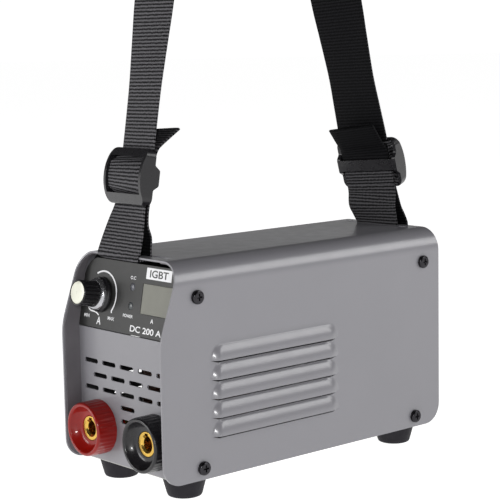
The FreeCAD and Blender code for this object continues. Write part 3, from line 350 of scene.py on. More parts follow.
def smooth_by_angle(mesh, degrees):
    """Smooth faces, with every edge sharper than the angle marked sharp."""
    model = bmesh.new()
    model.from_mesh(mesh)
    for edge in model.edges:
        edge.smooth = len(edge.link_faces) == 2 and edge.calc_face_angle(0.0) < math.radians(degrees)
    for face in model.faces:
        face.smooth = True
    model.to_mesh(mesh)
    model.free()


def mesh_from(name, points, faces, material, sharp=SHARP):
    mesh = bpy.data.meshes.new(name)
    mesh.from_pydata([tuple(p) for p in points], [], faces)
    mesh.update()
    smooth_by_angle(mesh, sharp)
    return link_mesh(name, mesh, material)


def apply_modifiers(piece, sharp=SHARP):
    """Applies the modifiers, and lets flat faces shade flat up to their rounded edges."""
    for last in (False, True):
        graph = bpy.context.evaluated_depsgraph_get()
        mesh = bpy.data.meshes.new_from_object(piece.evaluated_get(graph))
        piece.modifiers.clear()
        piece.data = mesh
        if not last:
            smooth_by_angle(mesh, sharp)
            piece.modifiers.new("weighted", "WEIGHTED_NORMAL").keep_sharp = True


def add_bevel(piece, width_mm, segments, angle=32.0):
    """Rounds the edges that bend more than angle degrees."""
    bevel = piece.modifiers.new("bevel", "BEVEL")
    bevel.width = width_mm * MM
    bevel.segments = segments
    bevel.limit_method = "ANGLE"
    bevel.angle_limit = math.radians(angle)


def refine(node, bevel_mm, segments=2, material=None):
    """A finished copy of a CAD node with rounded edges, which stands for it."""
    mesh = frame["nodes"][node].data.copy()
    model = bmesh.new()
    model.from_mesh(mesh)
    bmesh.ops.remove_doubles(model, verts=model.verts, dist=CAD_WELD)
    bmesh.ops.dissolve_limit(model, angle_limit=FLAT_ANGLE, verts=model.verts, edges=model.edges)
    model.to_mesh(mesh)
    model.free()
    piece = link_mesh(node + "_finished", mesh, material or MATERIALS[NODE_SLOT[node]])
    add_bevel(piece, bevel_mm, segments)
    apply_modifiers(piece)
    stand_for(piece, node)


def stand_for(piece, node):
    """The piece takes the place of a CAD node, on its body."""
    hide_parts(node)
    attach(piece, body_of(node))


def lathe(name, profile, base, axis, material, steps, shape=None, sharp=SHARP):
    """Turns a closed outline of (radius, height) points in mm about an axis at right angles to x.

    shape(radius, height, angle) may vary the radius.
    """
    side = Vector((1, 0, 0))
    other = axis.cross(side)
    points = []
    faces = []
    for radius, height in profile:
        for step in range(steps):
            angle = 2 * math.pi * step / steps
            r = shape(radius, height, angle) if shape else radius
            direction = side * math.cos(angle) + other * math.sin(angle)
            points.append(base + (direction * r + axis * height) * MM)
    for row in range(len(profile)):
        for step in range(steps):
            after = (step + 1) % steps
            a, b = row * steps, (row + 1) % len(profile) * steps
            faces.append((a + step, a + after, b + after, b + step))
    piece = mesh_from(name, points, faces, material, 180.0)
    model = bmesh.new()
    model.from_mesh(piece.data)
    bmesh.ops.remove_doubles(model, verts=model.verts, dist=AXIS_WELD)
    bmesh.ops.recalc_face_normals(model, faces=model.faces)
    model.to_mesh(piece.data)
    model.free()
    smooth_by_angle(piece.data, sharp)
    return piece


def spline_point(t, p0, p1, p2, p3):
    """The Catmull-Rom point at share t of the way from p1 to p2."""
    return tuple(0.5 * (2 * b + (c - a) * t + (2 * a - 5 * b + 4 * c - d) * t * t
                        + (3 * b - a - 3 * c + d) * t ** 3)
                 for a, b, c, d in zip(p0, p1, p2, p3))


def eased(points, step):
    """A smooth path through tuples of numbers, with a point about every step mm."""
    path = []
    count = len(points)
    for index in range(count - 1):
        nearby = [points[min(max(index + k, 0), count - 1)] for k in (-1, 0, 1, 2)]
        length = math.dist(nearby[1][:3], nearby[2][:3])
        pieces = max(1, round(length / step))
        path += [spline_point(k / pieces, *nearby) for k in range(pieces)]
    path.append(tuple(points[-1]))
    return path


# Cover ----------------------------------------------------------------------------------------

SHEET = 1.2
SHEET_EDGE = 0.4               # rounds the sheet's cut edges
BEND_R = 16.0
CORNER_R = 14.0
KINK_Z = 93.0                  # the front edge leans back above this height
SETBACK = 17.1
EASE = 7.0                     # rounds the kink in the front edge
HALF_WIDTH = 53.6
EDGE_REACH = 22.0              # the grid's lines follow the front edge's shape up to here
CORNER_REACH = 35.0            # and this far beside the lower front corner
REAR_REACH = 224.0             # and from here on beside the lower rear corner
LOUVER_LIPS = [26.8 + 12.45 * row for row in range(5)]
LOUVER_Y = (40.6, 154.0)
LOUVER_RISE = 10.3
LOUVER_REACH = 3.7
LOUVER_GAP = 1.8               # the open slit below each lip
LOUVER_CORNER = 8.0
LOUVER_RAMP = 5.5
LOUVER_TAIL = 10.0             # the softer ramp at the rear end
LOUVER_STEP = 0.75             # the grid's spacing at the louvers' ends
STRAP_SLOTS = ((25.6, 29.6), (244.2, 248.2))
STRAP_SLOT_HALF = 30.0
MOUTH_DEPTH = 24.0             # the grey paint reaches this far inside the front mouth; deeper in, the inner faces carry painted shade
NEAR = 0.01                    # places closer than this are the same
COVER_SHARP = 50.0             # degrees: the louvers' curves stay smooth


def front_edge(z):
    """How far the cover's front edge is set back at height z."""
    if z < CORNER_R:
        return CORNER_R - math.sqrt(max(0.0, CORNER_R ** 2 - (CORNER_R - z) ** 2))
    slope = SETBACK / (HEIGHT - KINK_Z)
    over = z - KINK_Z
    if over < -EASE:
        return 0.0
    if over < EASE:
        return slope * (over + EASE) ** 2 / (4 * EASE)
    return slope * over


def steps_between(a, b, count):
    return [a + (b - a) * k / count for k in range(count)]


def smoothstep(t):
    t = min(1.0, max(0.0, t))
    return t * t * (3 - 2 * t)


def louver_height(y, z):
    """How far a pressed louver stands out of the side at (y, z), with ramps inside rounded corners."""
    for lip in LOUVER_LIPS:
        up = (z - lip) / LOUVER_RISE
        if 0 <= up < 1:
            inset = LOUVER_CORNER * (1 - math.sqrt(1 - up * up))
            front = (y - LOUVER_Y[0] - inset) / LOUVER_RAMP
            end = min(front, (LOUVER_Y[1] - y - inset) / LOUVER_TAIL)
            ramp = math.sin(math.pi / 2 * min(1.0, max(0.0, end)))
            return LOUVER_REACH * ramp * math.cos(up * math.pi / 2) ** 0.8
    return 0.0


def cover_sections():
    """Points of the cover's section from the lower right edge over the top: (x, z, normal)."""
    levels = [CORNER_R * (1 - math.cos(math.radians(a))) for a in range(0, 90, 10)]
    levels += steps_between(CORNER_R, LOUVER_LIPS[0], 4)
    for lip in LOUVER_LIPS:
        levels += steps_between(lip, lip + LOUVER_RISE, 14)
        levels.append(lip + LOUVER_RISE)
    levels += steps_between(levels[-1], HEIGHT - BEND_R, 10)[1:]
    side = [(HALF_WIDTH, z, (1.0, 0.0)) for z in levels]
    bend = []
    for k in range(25):
        angle = math.radians(90 * k / 24)
        direction = (math.cos(angle), math.sin(angle))
        x = HALF_WIDTH - BEND_R + BEND_R * direction[0]
        bend.append((x, HEIGHT - BEND_R + BEND_R * direction[1], direction))
    right = side + bend
    middle = [(STRAP_SLOT_HALF * k / 5, HEIGHT, (0.0, 1.0)) for k in (5, 3, 1, -1, -3, -5)]
    left = [(-x, z, (-n[0], n[1])) for x, z, n in reversed(right)]
    return right + middle + left


def cover_stations():
    """Distances along the cover, close together at its ends, louver ends and strap slots."""
    y0, y1 = LOUVER_Y
    fine = LOUVER_STEP
    marks = [0.0, 0.6, 1.6, 4, 8, 13, 19, *STRAP_SLOTS[0], CORNER_REACH]
    marks += [y0 - 2 * fine] + [y0 + k * fine for k in range(19)]
    marks += steps_between(y0 + 20 * fine, y1 - 20 * fine, 8)
    marks += [y1 - 19 * fine + k * fine for k in range(20)] + [y1 + 2 * fine]
    marks += [172.0, 190.0, 208.0, REAR_REACH, 236.0, *STRAP_SLOTS[1]]
    marks += [252.0, LENGTH - 1.6, LENGTH - 0.6, LENGTH]
    return marks


def cover_point(section, station):
    """A point of the grid, moved along the case where the cover's ends are cut back or rounded."""
    x, z, (nx, nz) = section
    edge = front_edge(z)
    reach = CORNER_REACH if z < CORNER_R else EDGE_REACH
    y = station
    if station < reach:
        y = edge + station / reach * (reach - edge)
    elif z < CORNER_R and station > REAR_REACH:
        y = REAR_REACH + (station - REAR_REACH) / (LENGTH - REAR_REACH) * (LENGTH - edge - REAR_REACH)
    out = louver_height(y, z) if abs(nx) == 1.0 else 0.0
    return case(x + nx * out, y, z + nz * out)


def lip_over(first, second):
    """The louver lip that the strip of side between two section points reaches from below, or None."""
    low, high = sorted((first[1], second[1]))
    for lip in LOUVER_LIPS:
        if abs(first[0]) == HALF_WIDTH and abs(high - lip) < NEAR and low < lip - NEAR:
            return lip
    return None


def over_slot(xa, xb, ya, yb):
    """Whether a face of the cover's top lies in one of the strap's slots."""
    if max(abs(xa), abs(xb)) > STRAP_SLOT_HALF + NEAR:
        return False
    return any(abs(ya - front) < NEAR and abs(yb - rear) < NEAR for front, rear in STRAP_SLOTS)


def make_cover():
    """The painted sheet: one grid with pressed louvers, slit along their lips, then thickened."""
    sections = cover_sections()
    stations = cover_stations()
    points = [cover_point(s, y) for s in sections for y in stations]
    columns = len(stations)
    faces = []
    y0, y1 = LOUVER_Y
    below = {}

    def low_side(row, column):
        """The flush copy of a point on a louver's lip, for the sheet below the slit."""
        if (row, column) not in below:
            x, z, _ = sections[row]
            y = stations[column]
            share = min(1.0, (y - y0) / LOUVER_RAMP, (y1 - y) / LOUVER_RAMP)
            below[row, column] = len(points)
            points.append(case(x, y, z - LOUVER_GAP * share))
        return below[row, column]

    def corner(row, column, lip):
        """The index of a face's corner, on the low side of the slit where the face is under a lip."""
        at_lip = lip is not None and abs(sections[row][1] - lip) < NEAR
        if at_lip and y0 < stations[column] < y1:
            return low_side(row, column)
        return row * columns + column

    for row in range(len(sections) - 1):
        (xa, za, _), (xb, zb, _) = sections[row], sections[row + 1]
        lip = lip_over(sections[row], sections[row + 1])
        for column in range(columns - 1):
            if za == HEIGHT == zb and over_slot(xa, xb, stations[column], stations[column + 1]):
                continue
            around = ((row, column), (row, column + 1), (row + 1, column + 1), (row + 1, column))
            faces.append(tuple(corner(r, c, lip) for r, c in around))
    piece = mesh_from("cover_shell", points, faces, GREY, COVER_SHARP)
    piece.data.materials.append(PAINTED_INSIDE_SHADE)
    # the inner faces of the thickened sheet take the painted inside shade
    thick = piece.modifiers.new("sheet", "SOLIDIFY")
    thick.material_offset = 1
    thick.thickness = SHEET * MM
    thick.offset = -1.0
    thick.use_even_offset = True
    add_bevel(piece, SHEET_EDGE, 3, COVER_SHARP)
    apply_modifiers(piece, COVER_SHARP)
    mouth = case(0, MOUTH_DEPTH, 0).y
    for face in piece.data.polygons:
        if face.center.y < mouth:
            face.material_index = 0
    stand_for(piece, "cover")


# Strap ----------------------------------------------------------------------------------------

WEB_HALF = 20.0
WEB_T = 1.6
RIB_HEIGHT = 0.3
EASED_STEP = 0.5
PIVOT_Z = 164.5                # the legs are measured from this height
LEGS = {                       # y, slope, twist, and whether out is forwards or back
    "front": (20.1, 0.169, -8.0, -1),
    "rear": (245.1, -0.262, 15.0, 1),
}
RETURN_N = -1.9                # the returns and tails lie this far inside the legs
BUCKLE_MIDDLE = {"front": 29.0, "rear": 23.5}      # up the leg
BUCKLE_SHIFT = {"front": -1.4, "rear": 1.4}        # across the leg
JOIN_S = {"front": 12.0, "rear": 8.0}              # up the leg, where the lower loop meets the return
JOIN_ASIDE = {"front": -1.5, "rear": 0.0}
CROWN = (117.8, 472.7, 45.0)   # the top arch's centre (y, z) and radius
UNDER_Z = 139.7                # the webbing's middle where it runs under the cover's top
TAIL_SHADE = {"front": 0.25, "rear": 1.0}          # painted shade on the tails, from the lit face's colour to the back's painted shade
REAR_SHADE = 0.42              # painted shade on the face in the same way, reached at the rear end of the case

# Routes listed as (x, y, z, twist) for the lower loops, and places on the legs between them.
FRONT_LOOP = (
    (-4.6, 24.4, 162.0, -5.0), (-6.6, 26.8, 154.0, -1.0), (-8.4, 27.4, 147.0, 0.0),
    (-8.4, 27.2, 143.0, 0.0), (-8.4, 27.2, 141.0, 0.0), (-8.4, 26.4, 139.9, 0.0),
    (-8.4, 25.0, UNDER_Z, 0.0), (-8.4, 18.0, UNDER_Z, 0.0), (-8.4, 16.1, 139.9, 0.0),
    (-8.2, 15.3, 141.2, 4.0), (-7.7, 15.4, 143.5, 6.0), (-6.4, 17.0, 151.0, 4.0),
    (-5.4, 18.6, 158.0, 1.0), (-4.4, 20.0, 165.0, -3.0),
)
REAR_LOOP = (
    (0.3, 248.6, 157.0, 13.0), (0.9, 253.6, 150.0, 7.0), (1.6, 257.2, 144.5, 2.0),
    (1.8, 257.7, 142.3, 1.0), (1.8, 257.5, 140.8, 1.0), (1.8, 256.6, 139.9, 1.0),
    (1.8, 255.0, UNDER_Z, 1.0), (1.8, 248.5, UNDER_Z, 1.0), (1.8, 247.0, 139.9, 1.0),
    (1.8, 246.2, 141.2, 2.0), (1.8, 246.2, 143.2, 3.0), (1.2, 244.3, 149.5, 8.0),
    (0.5, 242.3, 156.5, 13.0),
)
FRONT_FOOT = ((10.0, -3.0), (18.0, -2.0), (29.0, -0.7), (40.0, 0.0), (48.0, 0.0))      # up the leg, across
REAR_FOOT = (34.0, 23.0, 12.0, 5.0)        # up the leg
FRONT_TWIST = (                # height, twist
    (232.0, -8.0), (254.0, -7.0), (280.0, -3.0), (306.0, 1.0), (350.0, 3.0), (400.0, 2.0),
    (440.0, 0.0), (470.0, 0.0),
)
REAR_TWIST = (
    (475.0, 0.0), (445.0, 3.0), (400.0, 9.0), (350.0, 17.0), (307.0, 20.0), (280.0, 14.0),
    (252.0, 9.0), (228.0, 12.0), (210.0, 15.0),
)
TAILS = {                      # up the leg, out from the return
    "front": ((30.0, 0.0), (40.0, 0.0), (46.0, -0.6), (51.0, -3.6), (61.5, -14.1)),
    "rear": ((24.5, 0.0), (31.0, 0.0), (36.0, -1.2), (41.5, -4.4), (55.5, -12.1)),
}
BULGE = (                      # the webbing in a slider's window: up from its middle, out of the loop
    (-12.8, 0.2), (-10.4, 2.6), (-8.0, 5.4), (-4.0, 6.7), (0.0, 7.1), (4.5, 6.7), (8.6, 5.4),
    (11.2, 2.6),
)
BULGE_TOP = {"front": (13.8, 0.2), "rear": (16.0, 0.2)}
BULGE_WIDTH = 1.09             # of the webbing's own width


def leg_point(name, s, n=0.0, a=0.0):
    """A point of a strap leg in case millimetres: s up along it, n out of the loop, a across."""
    y, slope, twist, out = LEGS[name]
    along = Vector((0, slope, 1)).normalized()
    angle = math.radians(twist)
    flat = Vector((1, 0, 0))
    across = flat * math.cos(angle) + along.cross(flat) * math.sin(angle)
    outward = along.cross(across) * out
    return Vector((0, y, PIVOT_Z)) + along * s + across * a + outward * n


def leg_station(name, s, n=0.0, a=0.0):
    """A station at leg_point, with the leg's own twist."""
    return (*leg_point(name, s, n, a), LEGS[name][2])


def leg_at(name, z, twist):
    """A station on a leg's middle line at height z."""
    y, slope = LEGS[name][:2]
    return (0.0, y + slope * (z - PIVOT_Z), z, twist)


def resampled(path, step):
    """The path at equal distances of about step mm, with the distance travelled at each point."""
    travelled = [0.0]
    for a, b in zip(path, path[1:]):
        travelled.append(travelled[-1] + math.dist(a[:3], b[:3]))
    count = max(2, round(travelled[-1] / step))
    result = []
    index = 0
    for k in range(count + 1):
        want = travelled[-1] * k / count
        while index < len(path) - 2 and travelled[index + 1] < want:
            index += 1
        share = (want - travelled[index]) / (travelled[index + 1] - travelled[index])
        result.append((want, tuple(a + (b - a) * share for a, b in zip(path[index], path[index + 1]))))
    return result


def band_ring():
    """The webbing's section as (across, out, rib share) points, once round."""
    half, deep = WEB_HALF, WEB_T / 2
    across = [-half + 0.9 + (2 * half - 1.8) * k / 10 for k in range(11)]
    face = [(a, 1.0, 0.35 if abs(a) > half - 1.5 else 1.0) for a in across]
    right = [(half - 0.3, 0.72, 0.2), (half, 0.0, 0.0), (half - 0.3, -0.72, 0.2)]
    back = [(a, -1.0, share) for a, _, share in reversed(face)]
    left = [(-half + 0.3, -0.72, 0.2), (-half, 0.0, 0.0), (-half + 0.3, 0.72, 0.2)]
    return [(a, out * deep, share) for a, out, share in face + right + back + left]


def band(name, path, scale=1.0, shade=0.0, shade_rear=0.0):
    """Ribbed webbing along (x, y, z, twist) stations in case millimetres.

    One side carries painted shade as a dark back. shade paints shade on the other side, and shade_rear
    more so towards the rear.
    """
    step = RIB_PITCH / 4
    stations = resampled(eased(path, EASED_STEP), step)
    ring = band_ring()
    count = len(ring)
    points = []
    coords = []
    for index, (run, (x, y, z, twist)) in enumerate(stations):
        before = Vector(stations[max(index - 1, 0)][1][:3])
        after = Vector(stations[min(index + 1, len(stations) - 1)][1][:3])
        along = after - before
        along = Vector((0, along.y, along.z)).normalized()
        wide = Vector((math.cos(math.radians(twist)), math.sin(math.radians(twist)), 0))
        wide = (wide - along * wide.dot(along)).normalized()
        out = along.cross(wide)
        rib = RIB_HEIGHT * math.cos(2 * math.pi * run / RIB_PITCH)
        painted_shade = shade + shade_rear * smoothstep(y / LENGTH)
        for a, n, share in ring:
            lift = math.copysign(rib * share, n) if n else 0.0
            points.append(case(*(Vector((x, y, z)) + wide * a * scale + out * (n + lift))))
            # the third number is the painted shade: 1 on the back, less on the face
            coords.append((a * MM, run * MM, 1.0 if n > 0 else painted_shade))
    faces = []
    for row in range(len(stations) - 1):
        for k in range(count):
            a, b = row * count + k, row * count + (k + 1) % count
            faces.append((a, b, b + count, a + count))
    faces.append(tuple(range(count))[::-1])
    faces.append(tuple(range(len(points) - count, len(points))))
    piece = mesh_from(name, points, faces, MATERIALS["webbing"], 70.0)
    layer = piece.data.uv_layers.new(name="weave")
    for face in piece.data.polygons:
        # back is this face's share of painted shade, carried in u
        back = min(coords[v][2] for v in face.vertices)
        for loop in face.loop_indices:
            u, v, _ = coords[piece.data.loops[loop].vertex_index]
            layer.data[loop].uv = (u + back, v)
    return piece


def main_path():
    """From inside the front slider, down round the cover's front strip, over the crown to the rear."""
    path = [leg_station("front", JOIN_S["front"], RETURN_N, JOIN_ASIDE["front"])]
    path.append(leg_station("front", 6.0, RETURN_N - 0.5, -2.5))
    path += FRONT_LOOP
    path += [leg_station("front", s, 0.0, a) for s, a in FRONT_FOOT]
    path += [leg_at("front", z, twist) for z, twist in FRONT_TWIST]
    y, z, radius = CROWN
    for turn in range(170, 10, -10):
        angle = math.radians(turn)
        path.append((0.0, y + radius * math.cos(angle), z + radius * math.sin(angle), 0.0))
    path += [leg_at("rear", z, twist) for z, twist in REAR_TWIST]
    path += [leg_station("rear", s) for s in REAR_FOOT]
    path += REAR_LOOP
    path.append(leg_station("rear", 1.5, RETURN_N - 0.6))
    path.append(leg_station("rear", JOIN_S["rear"], RETURN_N, JOIN_ASIDE["rear"]))
    return path


def make_slider(name):
    """A slider with the return that rises into it, the free tail, and the webbing in its window."""
    middle = BUCKLE_MIDDLE[name]
    join = JOIN_S[name]
    aside = JOIN_ASIDE[name]
    rise = [leg_station(name, join, RETURN_N, aside), leg_station(name, middle - 8, RETURN_N, aside / 2),
            leg_station(name, middle + 1, RETURN_N)]
    upper = band("strap_upper_return_" + name, rise, shade_rear=REAR_SHADE)
    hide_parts("strap_return_" + name)
    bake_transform(upper)
    tail_path = [leg_station(name, s, RETURN_N + n) for s, n in TAILS[name]]
    tail = band("strap_end_" + name, tail_path, shade=TAIL_SHADE[name])
    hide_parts("strap_tail_" + name)
    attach(tail, "buckle_" + name)
    bulge = [leg_station(name, middle + s, n, BUCKLE_SHIFT[name]) for s, n in (*BULGE, BULGE_TOP[name])]
    patch = band("buckle_window_web_" + name, bulge, BULGE_WIDTH, shade_rear=REAR_SHADE)
    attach(patch, "buckle_" + name)
    refine("buckle_" + name, 0.7, 3)


def make_strap():
    """The webbing in one run, which bends where it leaves the case, and its two sliders."""
    whole = band("strap_webbing", main_path(), shade_rear=REAR_SHADE)
    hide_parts("strap_crown", "strap_leg_front", "strap_leg_rear", "strap_anchor_front",
                "strap_anchor_rear")
    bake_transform(whole)
    for name in ("front", "rear"):
        make_slider(name)


# Control panel and knob -----------------------------------------------------------------------

RECESS = 13.0
PANEL_SPLIT = 91.2
TILT = math.radians(10.75)
PANEL_OUT = Vector((0, -math.cos(TILT), math.sin(TILT)))
KNOB_AT = (-31.0, 22.5)
KNOB_R = 8.5
FLUTES = 18
FLUTE_DEPTH = 0.55
FLUTE_START = 7.7              # their height above the panel
DIAL_CENTRE = (-30.0, 22.7)
DIAL_R = 15.5
PRINT = 0.06                   # how far the printing stands off the panel
LABEL_T = 0.3


def panel_point(x, up, out=0.0):
    """A place on the tilted panel, up from its lower edge and out from its face."""
    y = RECESS + up * math.sin(TILT) - out * math.cos(TILT)
    z = PANEL_SPLIT + up * math.cos(TILT) + out * math.sin(TILT)
    return case(x, y, z)


def knob_front():
    """How far the knob's front stands from the panel, from the frame's own box."""
    low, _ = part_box("current_knob")
    root = panel_point(*KNOB_AT)
    return ((root.y - low.y) / MM - KNOB_R * math.sin(TILT)) / math.cos(TILT)


def make_knob():
    """The fluted shell with its skirt, the bright ring round its foot, and the pale cap."""
    base = panel_point(*KNOB_AT)
    front = knob_front()

    def fluted(radius, height, angle):
        if height < FLUTE_START or height > front - 1.3 or radius < KNOB_R - 0.3:
            return radius
        return radius - FLUTE_DEPTH * max(0.0, math.cos(FLUTES * angle)) ** 2

    rise = [FLUTE_START + (front - 1.4 - FLUTE_START) * k / 5 for k in range(6)]
    skirt = [(3.2, 0.8), (11.5, 0.8), (11.8, 1.1), (11.8, 2.0), (11.5, 2.5), (10.9, 3.4), (10.3, 5.2),
             (9.0, 6.5)]
    body = [(8.7, 6.8), (8.55, 7.1), (KNOB_R, 7.5)] + [(KNOB_R, h) for h in rise]
    rim = [(KNOB_R, front - 1.0), (KNOB_R - 0.15, front - 0.4), (KNOB_R - 0.5, front - 0.05)]
    rim += [(7.7, front - 0.05), (7.6, front - 0.3), (7.6, front - 1.5), (3.2, front - 1.5)]
    gloss = MATERIALS["black_gloss"]
    shell = lathe("knob_shell", skirt + body + rim, base, PANEL_OUT, gloss, 216, fluted, 40.0)
    stand_for(shell, "current_knob")
    ring = [(10.4, 4.3), (10.85, 4.2), (10.75, 5.0), (10.3, 5.9), (9.5, 6.75), (8.9, 6.9), (8.8, 6.5)]
    bright = lathe("knob_ring", ring, base, PANEL_OUT, CHROME, 96)
    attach(bright, "knob")
    cap = [(0.0, front), (4.0, front - 0.04), (6.8, front - 0.15), (7.3, front - 0.3), (7.5, front - 0.7),
           (7.5, front - 1.5), (0.0, front - 1.5)]
    stand_for(lathe("knob_face", cap, base, PANEL_OUT, MATERIALS["cream_plastic"], 72), "knob_cap")


def panel_strip(name, line, width):
    """A flat white line through (x, up) points on the panel."""
    points = []
    for index, (x, up) in enumerate(line):
        ahead = line[min(index + 1, len(line) - 1)]
        behind = line[max(index - 1, 0)]
        along = Vector((ahead[0] - behind[0], ahead[1] - behind[1])).normalized()
        side = Vector((-along.y, along.x)) * width / 2
        points.append(panel_point(x + side.x, up + side.y, PRINT))
        points.append(panel_point(x - side.x, up - side.y, PRINT))
    faces = [(2 * k, 2 * k + 1, 2 * k + 3, 2 * k + 2) for k in range(len(line) - 1)]
    return mesh_from(name, points, faces, MATERIALS["white_print"])


def panel_text(name, words, x, up, height, width, bold=0.015, out=PRINT, slot="white_print"):
    """Words centred at (x, up) on the panel, as a flat mesh of the given height and width."""
    curve = bpy.data.curves.new(name, "FONT")
    curve.body = words
    curve.offset = bold
    holder = bpy.data.objects.new(name, curve)
    bpy.context.scene.collection.objects.link(holder)
    graph = bpy.context.evaluated_depsgraph_get()
    mesh = bpy.data.meshes.new_from_object(holder.evaluated_get(graph))
    bpy.data.objects.remove(holder)
    xs = [vertex.co.x for vertex in mesh.vertices]
    ys = [vertex.co.y for vertex in mesh.vertices]
    for vertex in mesh.vertices:
        across = (vertex.co.x - min(xs)) / (max(xs) - min(xs)) - 0.5
        rise = (vertex.co.y - min(ys)) / (max(ys) - min(ys)) - 0.5
        vertex.co = panel_point(x + across * width, up + rise * height, out)
    return link_mesh(name, mesh, MATERIALS[slot])


def make_prints():
    """The dial's two lines and the words on the panel and its label."""
    x, up = DIAL_CENTRE
    dial = []
    for turn in range(121, -40, -5):
        angle = math.radians(turn)
        dial.append((x + DIAL_R * math.cos(angle), up + DIAL_R * math.sin(angle)))
    dial.append((dial[-1][0] + 0.5, dial[-1][1] - 1.3))
    lower = [(-43.6, 13.2), (-42.4, 11.6), (-40.5, 10.8), (-35.5, 10.5), (-33.2, 9.8), (-31.2, 8.6)]
    prints = [
        panel_strip("print_dial", dial, 1.15),
        panel_strip("print_dial_low", lower, 0.9),
        panel_text("print_amps_mark", "A", -30.4, 5.1, 5.2, 4.6),
        panel_text("print_max", "MAX", -17.3, 7.9, 2.3, 7.0),
        panel_text("print_min", "MIN", -44.2, 7.2, 2.3, 5.8),
        panel_text("print_power", "POWER", 0.4, 11.8, 2.1, 10.4),
        panel_text("print_overheat", "O.C", 1.5, 37.0, 2.1, 5.6),
        panel_text("print_display_unit", "A", 26.0, 11.3, 2.9, 3.0),
        panel_text("print_range", "DC 200 A", 20.5, 4.3, 4.1, 32.5, 0.014),
        panel_text("print_label", "IGBT", 28.2, 41.4, 4.9, 19.0, 0.016, LABEL_T + PRINT, "panel_black"),
    ]
    for piece in prints:
        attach(piece, "root")


# Sockets --------------------------------------------------------------------------------------

SOCKET_X = 30.5
SOCKET_Z = 24.4
SOCKET_FRONT = -2.0
SOCKET_R = 18.0
INSERT_STEP = 6.6              # the brass face behind the shell's rim
BARREL_RIBS = 36
RIB_REACH = 0.16


def make_socket(x, node, material):
    """A moulded shell with faint ribs round its barrel and a dished cup."""
    base = case(x, SOCKET_FRONT, SOCKET_Z)

    def ribbed(radius, height, angle):
        if radius < SOCKET_R - 0.4 or height < 2.0 or height > 13.4:
            return radius
        return radius + RIB_REACH * math.cos(BARREL_RIBS * angle)

    barrel = [(SOCKET_R, 1.4), (SOCKET_R + 0.05, 2.4), (SOCKET_R + 0.1, 6.0), (SOCKET_R + 0.15, 10.0),
              (SOCKET_R + 0.15, 13.2), (SOCKET_R + 0.3, 14.0), (SOCKET_R + 0.3, 14.9), (12.6, 14.9),
              (12.6, 26.0), (8.55, 26.0)]
    cup = [(8.55, INSERT_STEP), (10.9, INSERT_STEP), (12.0, 5.9), (13.3, 4.5), (14.6, 2.4), (15.1, 1.3),
           (15.4, 0.6), (15.8, 0.15), (16.3, 0.0), (17.0, 0.0), (17.6, 0.35), (17.9, 0.9)]
    shell = lathe(node + "_shell", cup + barrel, base, Vector((0, 1, 0)), material, 216, ribbed, 45.0)
    stand_for(shell, node)


# Wires seen through the vents -----------------------------------------------------------------

WIRE_SIDES = 10
WIRE_STEP = 2.0
LEADS = (                      # name, radius, route
    ("lead_upper", 1.0,
     ((-4, 22, 78), (0, 19, 69), (8, 18.5, 60), (20, 19, 50), (24, 24, 40), (20, 34, 24))),
    ("lead_lower", 0.7, ((36, 24, 80), (32, 20, 66), (29, 19, 59), (27, 21, 48), (30, 27, 38))),
)


def wire(name, radius, line, material):
    """A round lead through points in case millimetres."""
    path = [Vector(p) for p in eased(line, WIRE_STEP)]
    points = []
    for index, place in enumerate(path):
        along = (path[min(index + 1, len(path) - 1)] - path[max(index - 1, 0)]).normalized()
        side = along.orthogonal().normalized()
        other = along.cross(side)
        for k in range(WIRE_SIDES):
            angle = 2 * math.pi * k / WIRE_SIDES
            points.append(case(*(place + (side * math.cos(angle) + other * math.sin(angle)) * radius)))
    faces = []
    for row in range(len(path) - 1):
        for k in range(WIRE_SIDES):
            a = row * WIRE_SIDES + k
            b = row * WIRE_SIDES + (k + 1) % WIRE_SIDES
            faces.append((a, b, b + WIRE_SIDES, a + WIRE_SIDES))
    piece = mesh_from(name, points, faces, material, 80.0)
    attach(piece, "root")


def make_wires():
    grey = moulded("lead_sleeve", srgb(118, 118, 120), 0.6, 1.5, 0.01)
    for name, radius, line in LEADS:
        wire(name, radius, line, grey)


# Build ----------------------------------------------------------------------------------------

BEVELS = {
    "front_panel": 0.25, "front_bezel": 0.15, "control_panel": 0.2, "panel_label": 0.06,
    "display_lens": 0.15, "base_chassis": 0.2, "rear_panel": 0.25, "side_screws": 0.22,
    "foot_screws": 0.2, "fan_screws": 0.2, "socket_insert_positive": 0.3, "socket_insert_negative": 0.3,
    "socket_locknuts": 0.4, "busbar_nuts": 0.4, "busbar_positive": 0.3, "busbar_negative": 0.3,
    "fan_frame": 0.5, "fan_rotor": 0.25, "switch_housing": 0.3, "switch_rocker": 0.3,
    "cable_gland": 0.4, "earth_screw": 0.25, "power_board": 0.15, "heatsink_primary": 0.2,
    "heatsink_secondary": 0.2, "power_semiconductors": 0.4, "bulk_capacitors": 0.8,
    "bridge_rectifier": 0.4, "transformer_core": 0.5, "transformer_winding": 2.0,
    "foot_front_left": 0.4, "foot_front_right": 0.4, "foot_rear_left": 0.4, "foot_rear_right": 0.4,
}


def darken_flanges(panel):
    """Painted shade on the front panel's folded edges, behind its vents."""
    panel.data.materials.append(PAINTED_INSIDE_SHADE)
    behind = case(0, RECESS + SHEET + 0.2, 0).y
    for face in panel.data.polygons:
        if face.center.y > behind:
            face.material_index = 1


def build():
    """Gives every CAD node its material, then makes the finished pieces that stand for them."""
    for node, piece in frame["nodes"].items():
        piece.data.materials.clear()
        piece.data.materials.append(MATERIALS[NODE_SLOT[node]])
    make_cover()
    for node, width in BEVELS.items():
        refine(node, width, material=TRIM if node == "front_bezel" else None)
    darken_flanges(bpy.data.objects["front_panel_finished"])
    make_strap()
    make_knob()
    make_prints()
    make_socket(-SOCKET_X, "socket_body_positive", MATERIALS["red_plastic"])
    make_socket(SOCKET_X, "socket_body_negative", MATERIALS["black_gloss"])
    make_wires()


build()


# Stage ----------------------------------------------------------------------------------------

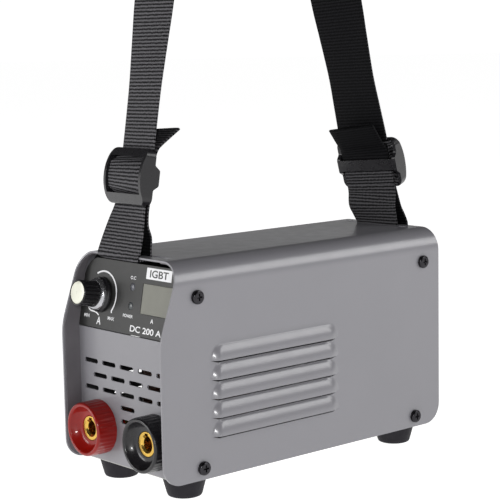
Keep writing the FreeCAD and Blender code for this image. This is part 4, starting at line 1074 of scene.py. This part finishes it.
WHITE = (1.0, 1.0, 1.0, 1.0)
FLOOR_HALF = 30.0              # metres, as all of the stage
FLOOR_GLOW = 0.96
HORIZON = (0.04, 0.16)         # the sky fades between these heights of its direction
SKY = (1.05, 0.06)             # its strength at the horizon and above
LIGHTS = (                     # name, place, width and height, watts
    ("front_box", (-1.0, -2.0, 0.55), (1.2, 0.8), 21.0),
    ("key", (1.75, -1.55, 0.7), (0.26, 0.26), 20.0),
    ("side_box", (1.5, 1.5, 1.3), (1.6, 1.0), 22.0),
)


def make_stage():
    """The pale floor, which glows enough to meet the sky without a line."""
    floor = bpy.data.meshes.new("floor")
    corners = [(x * FLOOR_HALF, y * FLOOR_HALF, 0) for x, y in ((-1, -1), (1, -1), (1, 1), (-1, 1))]
    floor.from_pydata(corners, [], [(0, 1, 2, 3)])
    paint = Shader("pale_floor", (0.5, 0.5, 0.5, 1.0), 0.9, Specular_IOR_Level=0.0)
    paint.shader.inputs["Emission Color"].default_value = WHITE
    paint.shader.inputs["Emission Strength"].default_value = FLOOR_GLOW
    link_mesh("floor", floor, paint.material)


def area_light(name, place, size, power):
    """A soft box that faces the middle of the case."""
    light = bpy.data.lights.new(name, "AREA")
    light.shape = "RECTANGLE"
    light.size, light.size_y = size
    light.energy = power
    lamp = bpy.data.objects.new(name, light)
    lamp.location = place
    away = Vector(place) - case(0, LENGTH / 2, HEIGHT / 2)
    lamp.rotation_euler = away.to_track_quat("Z", "Y").to_euler()
    bpy.context.scene.collection.objects.link(lamp)


def make_sky():
    """White light from round the horizon, and little from above."""
    world = bpy.data.worlds.new("studio")
    bpy.context.scene.world = world
    world.use_nodes = True
    tree = world.node_tree
    background = tree.nodes["Background"]
    where = tree.nodes.new("ShaderNodeTexCoord")
    split = tree.nodes.new("ShaderNodeSeparateXYZ")
    ramp = tree.nodes.new("ShaderNodeMapRange")
    ramp.inputs["From Min"].default_value, ramp.inputs["From Max"].default_value = HORIZON
    ramp.inputs["To Min"].default_value, ramp.inputs["To Max"].default_value = SKY
    tree.links.new(where.outputs["Generated"], split.inputs["Vector"])
    tree.links.new(split.outputs["Z"], ramp.inputs["Value"])
    tree.links.new(ramp.outputs["Result"], background.inputs["Strength"])
    background.inputs["Color"].default_value = WHITE


make_stage()
make_sky()
for light_facts in LIGHTS:
    area_light(*light_facts)
bpy.context.scene.view_settings.view_transform = "Standard"
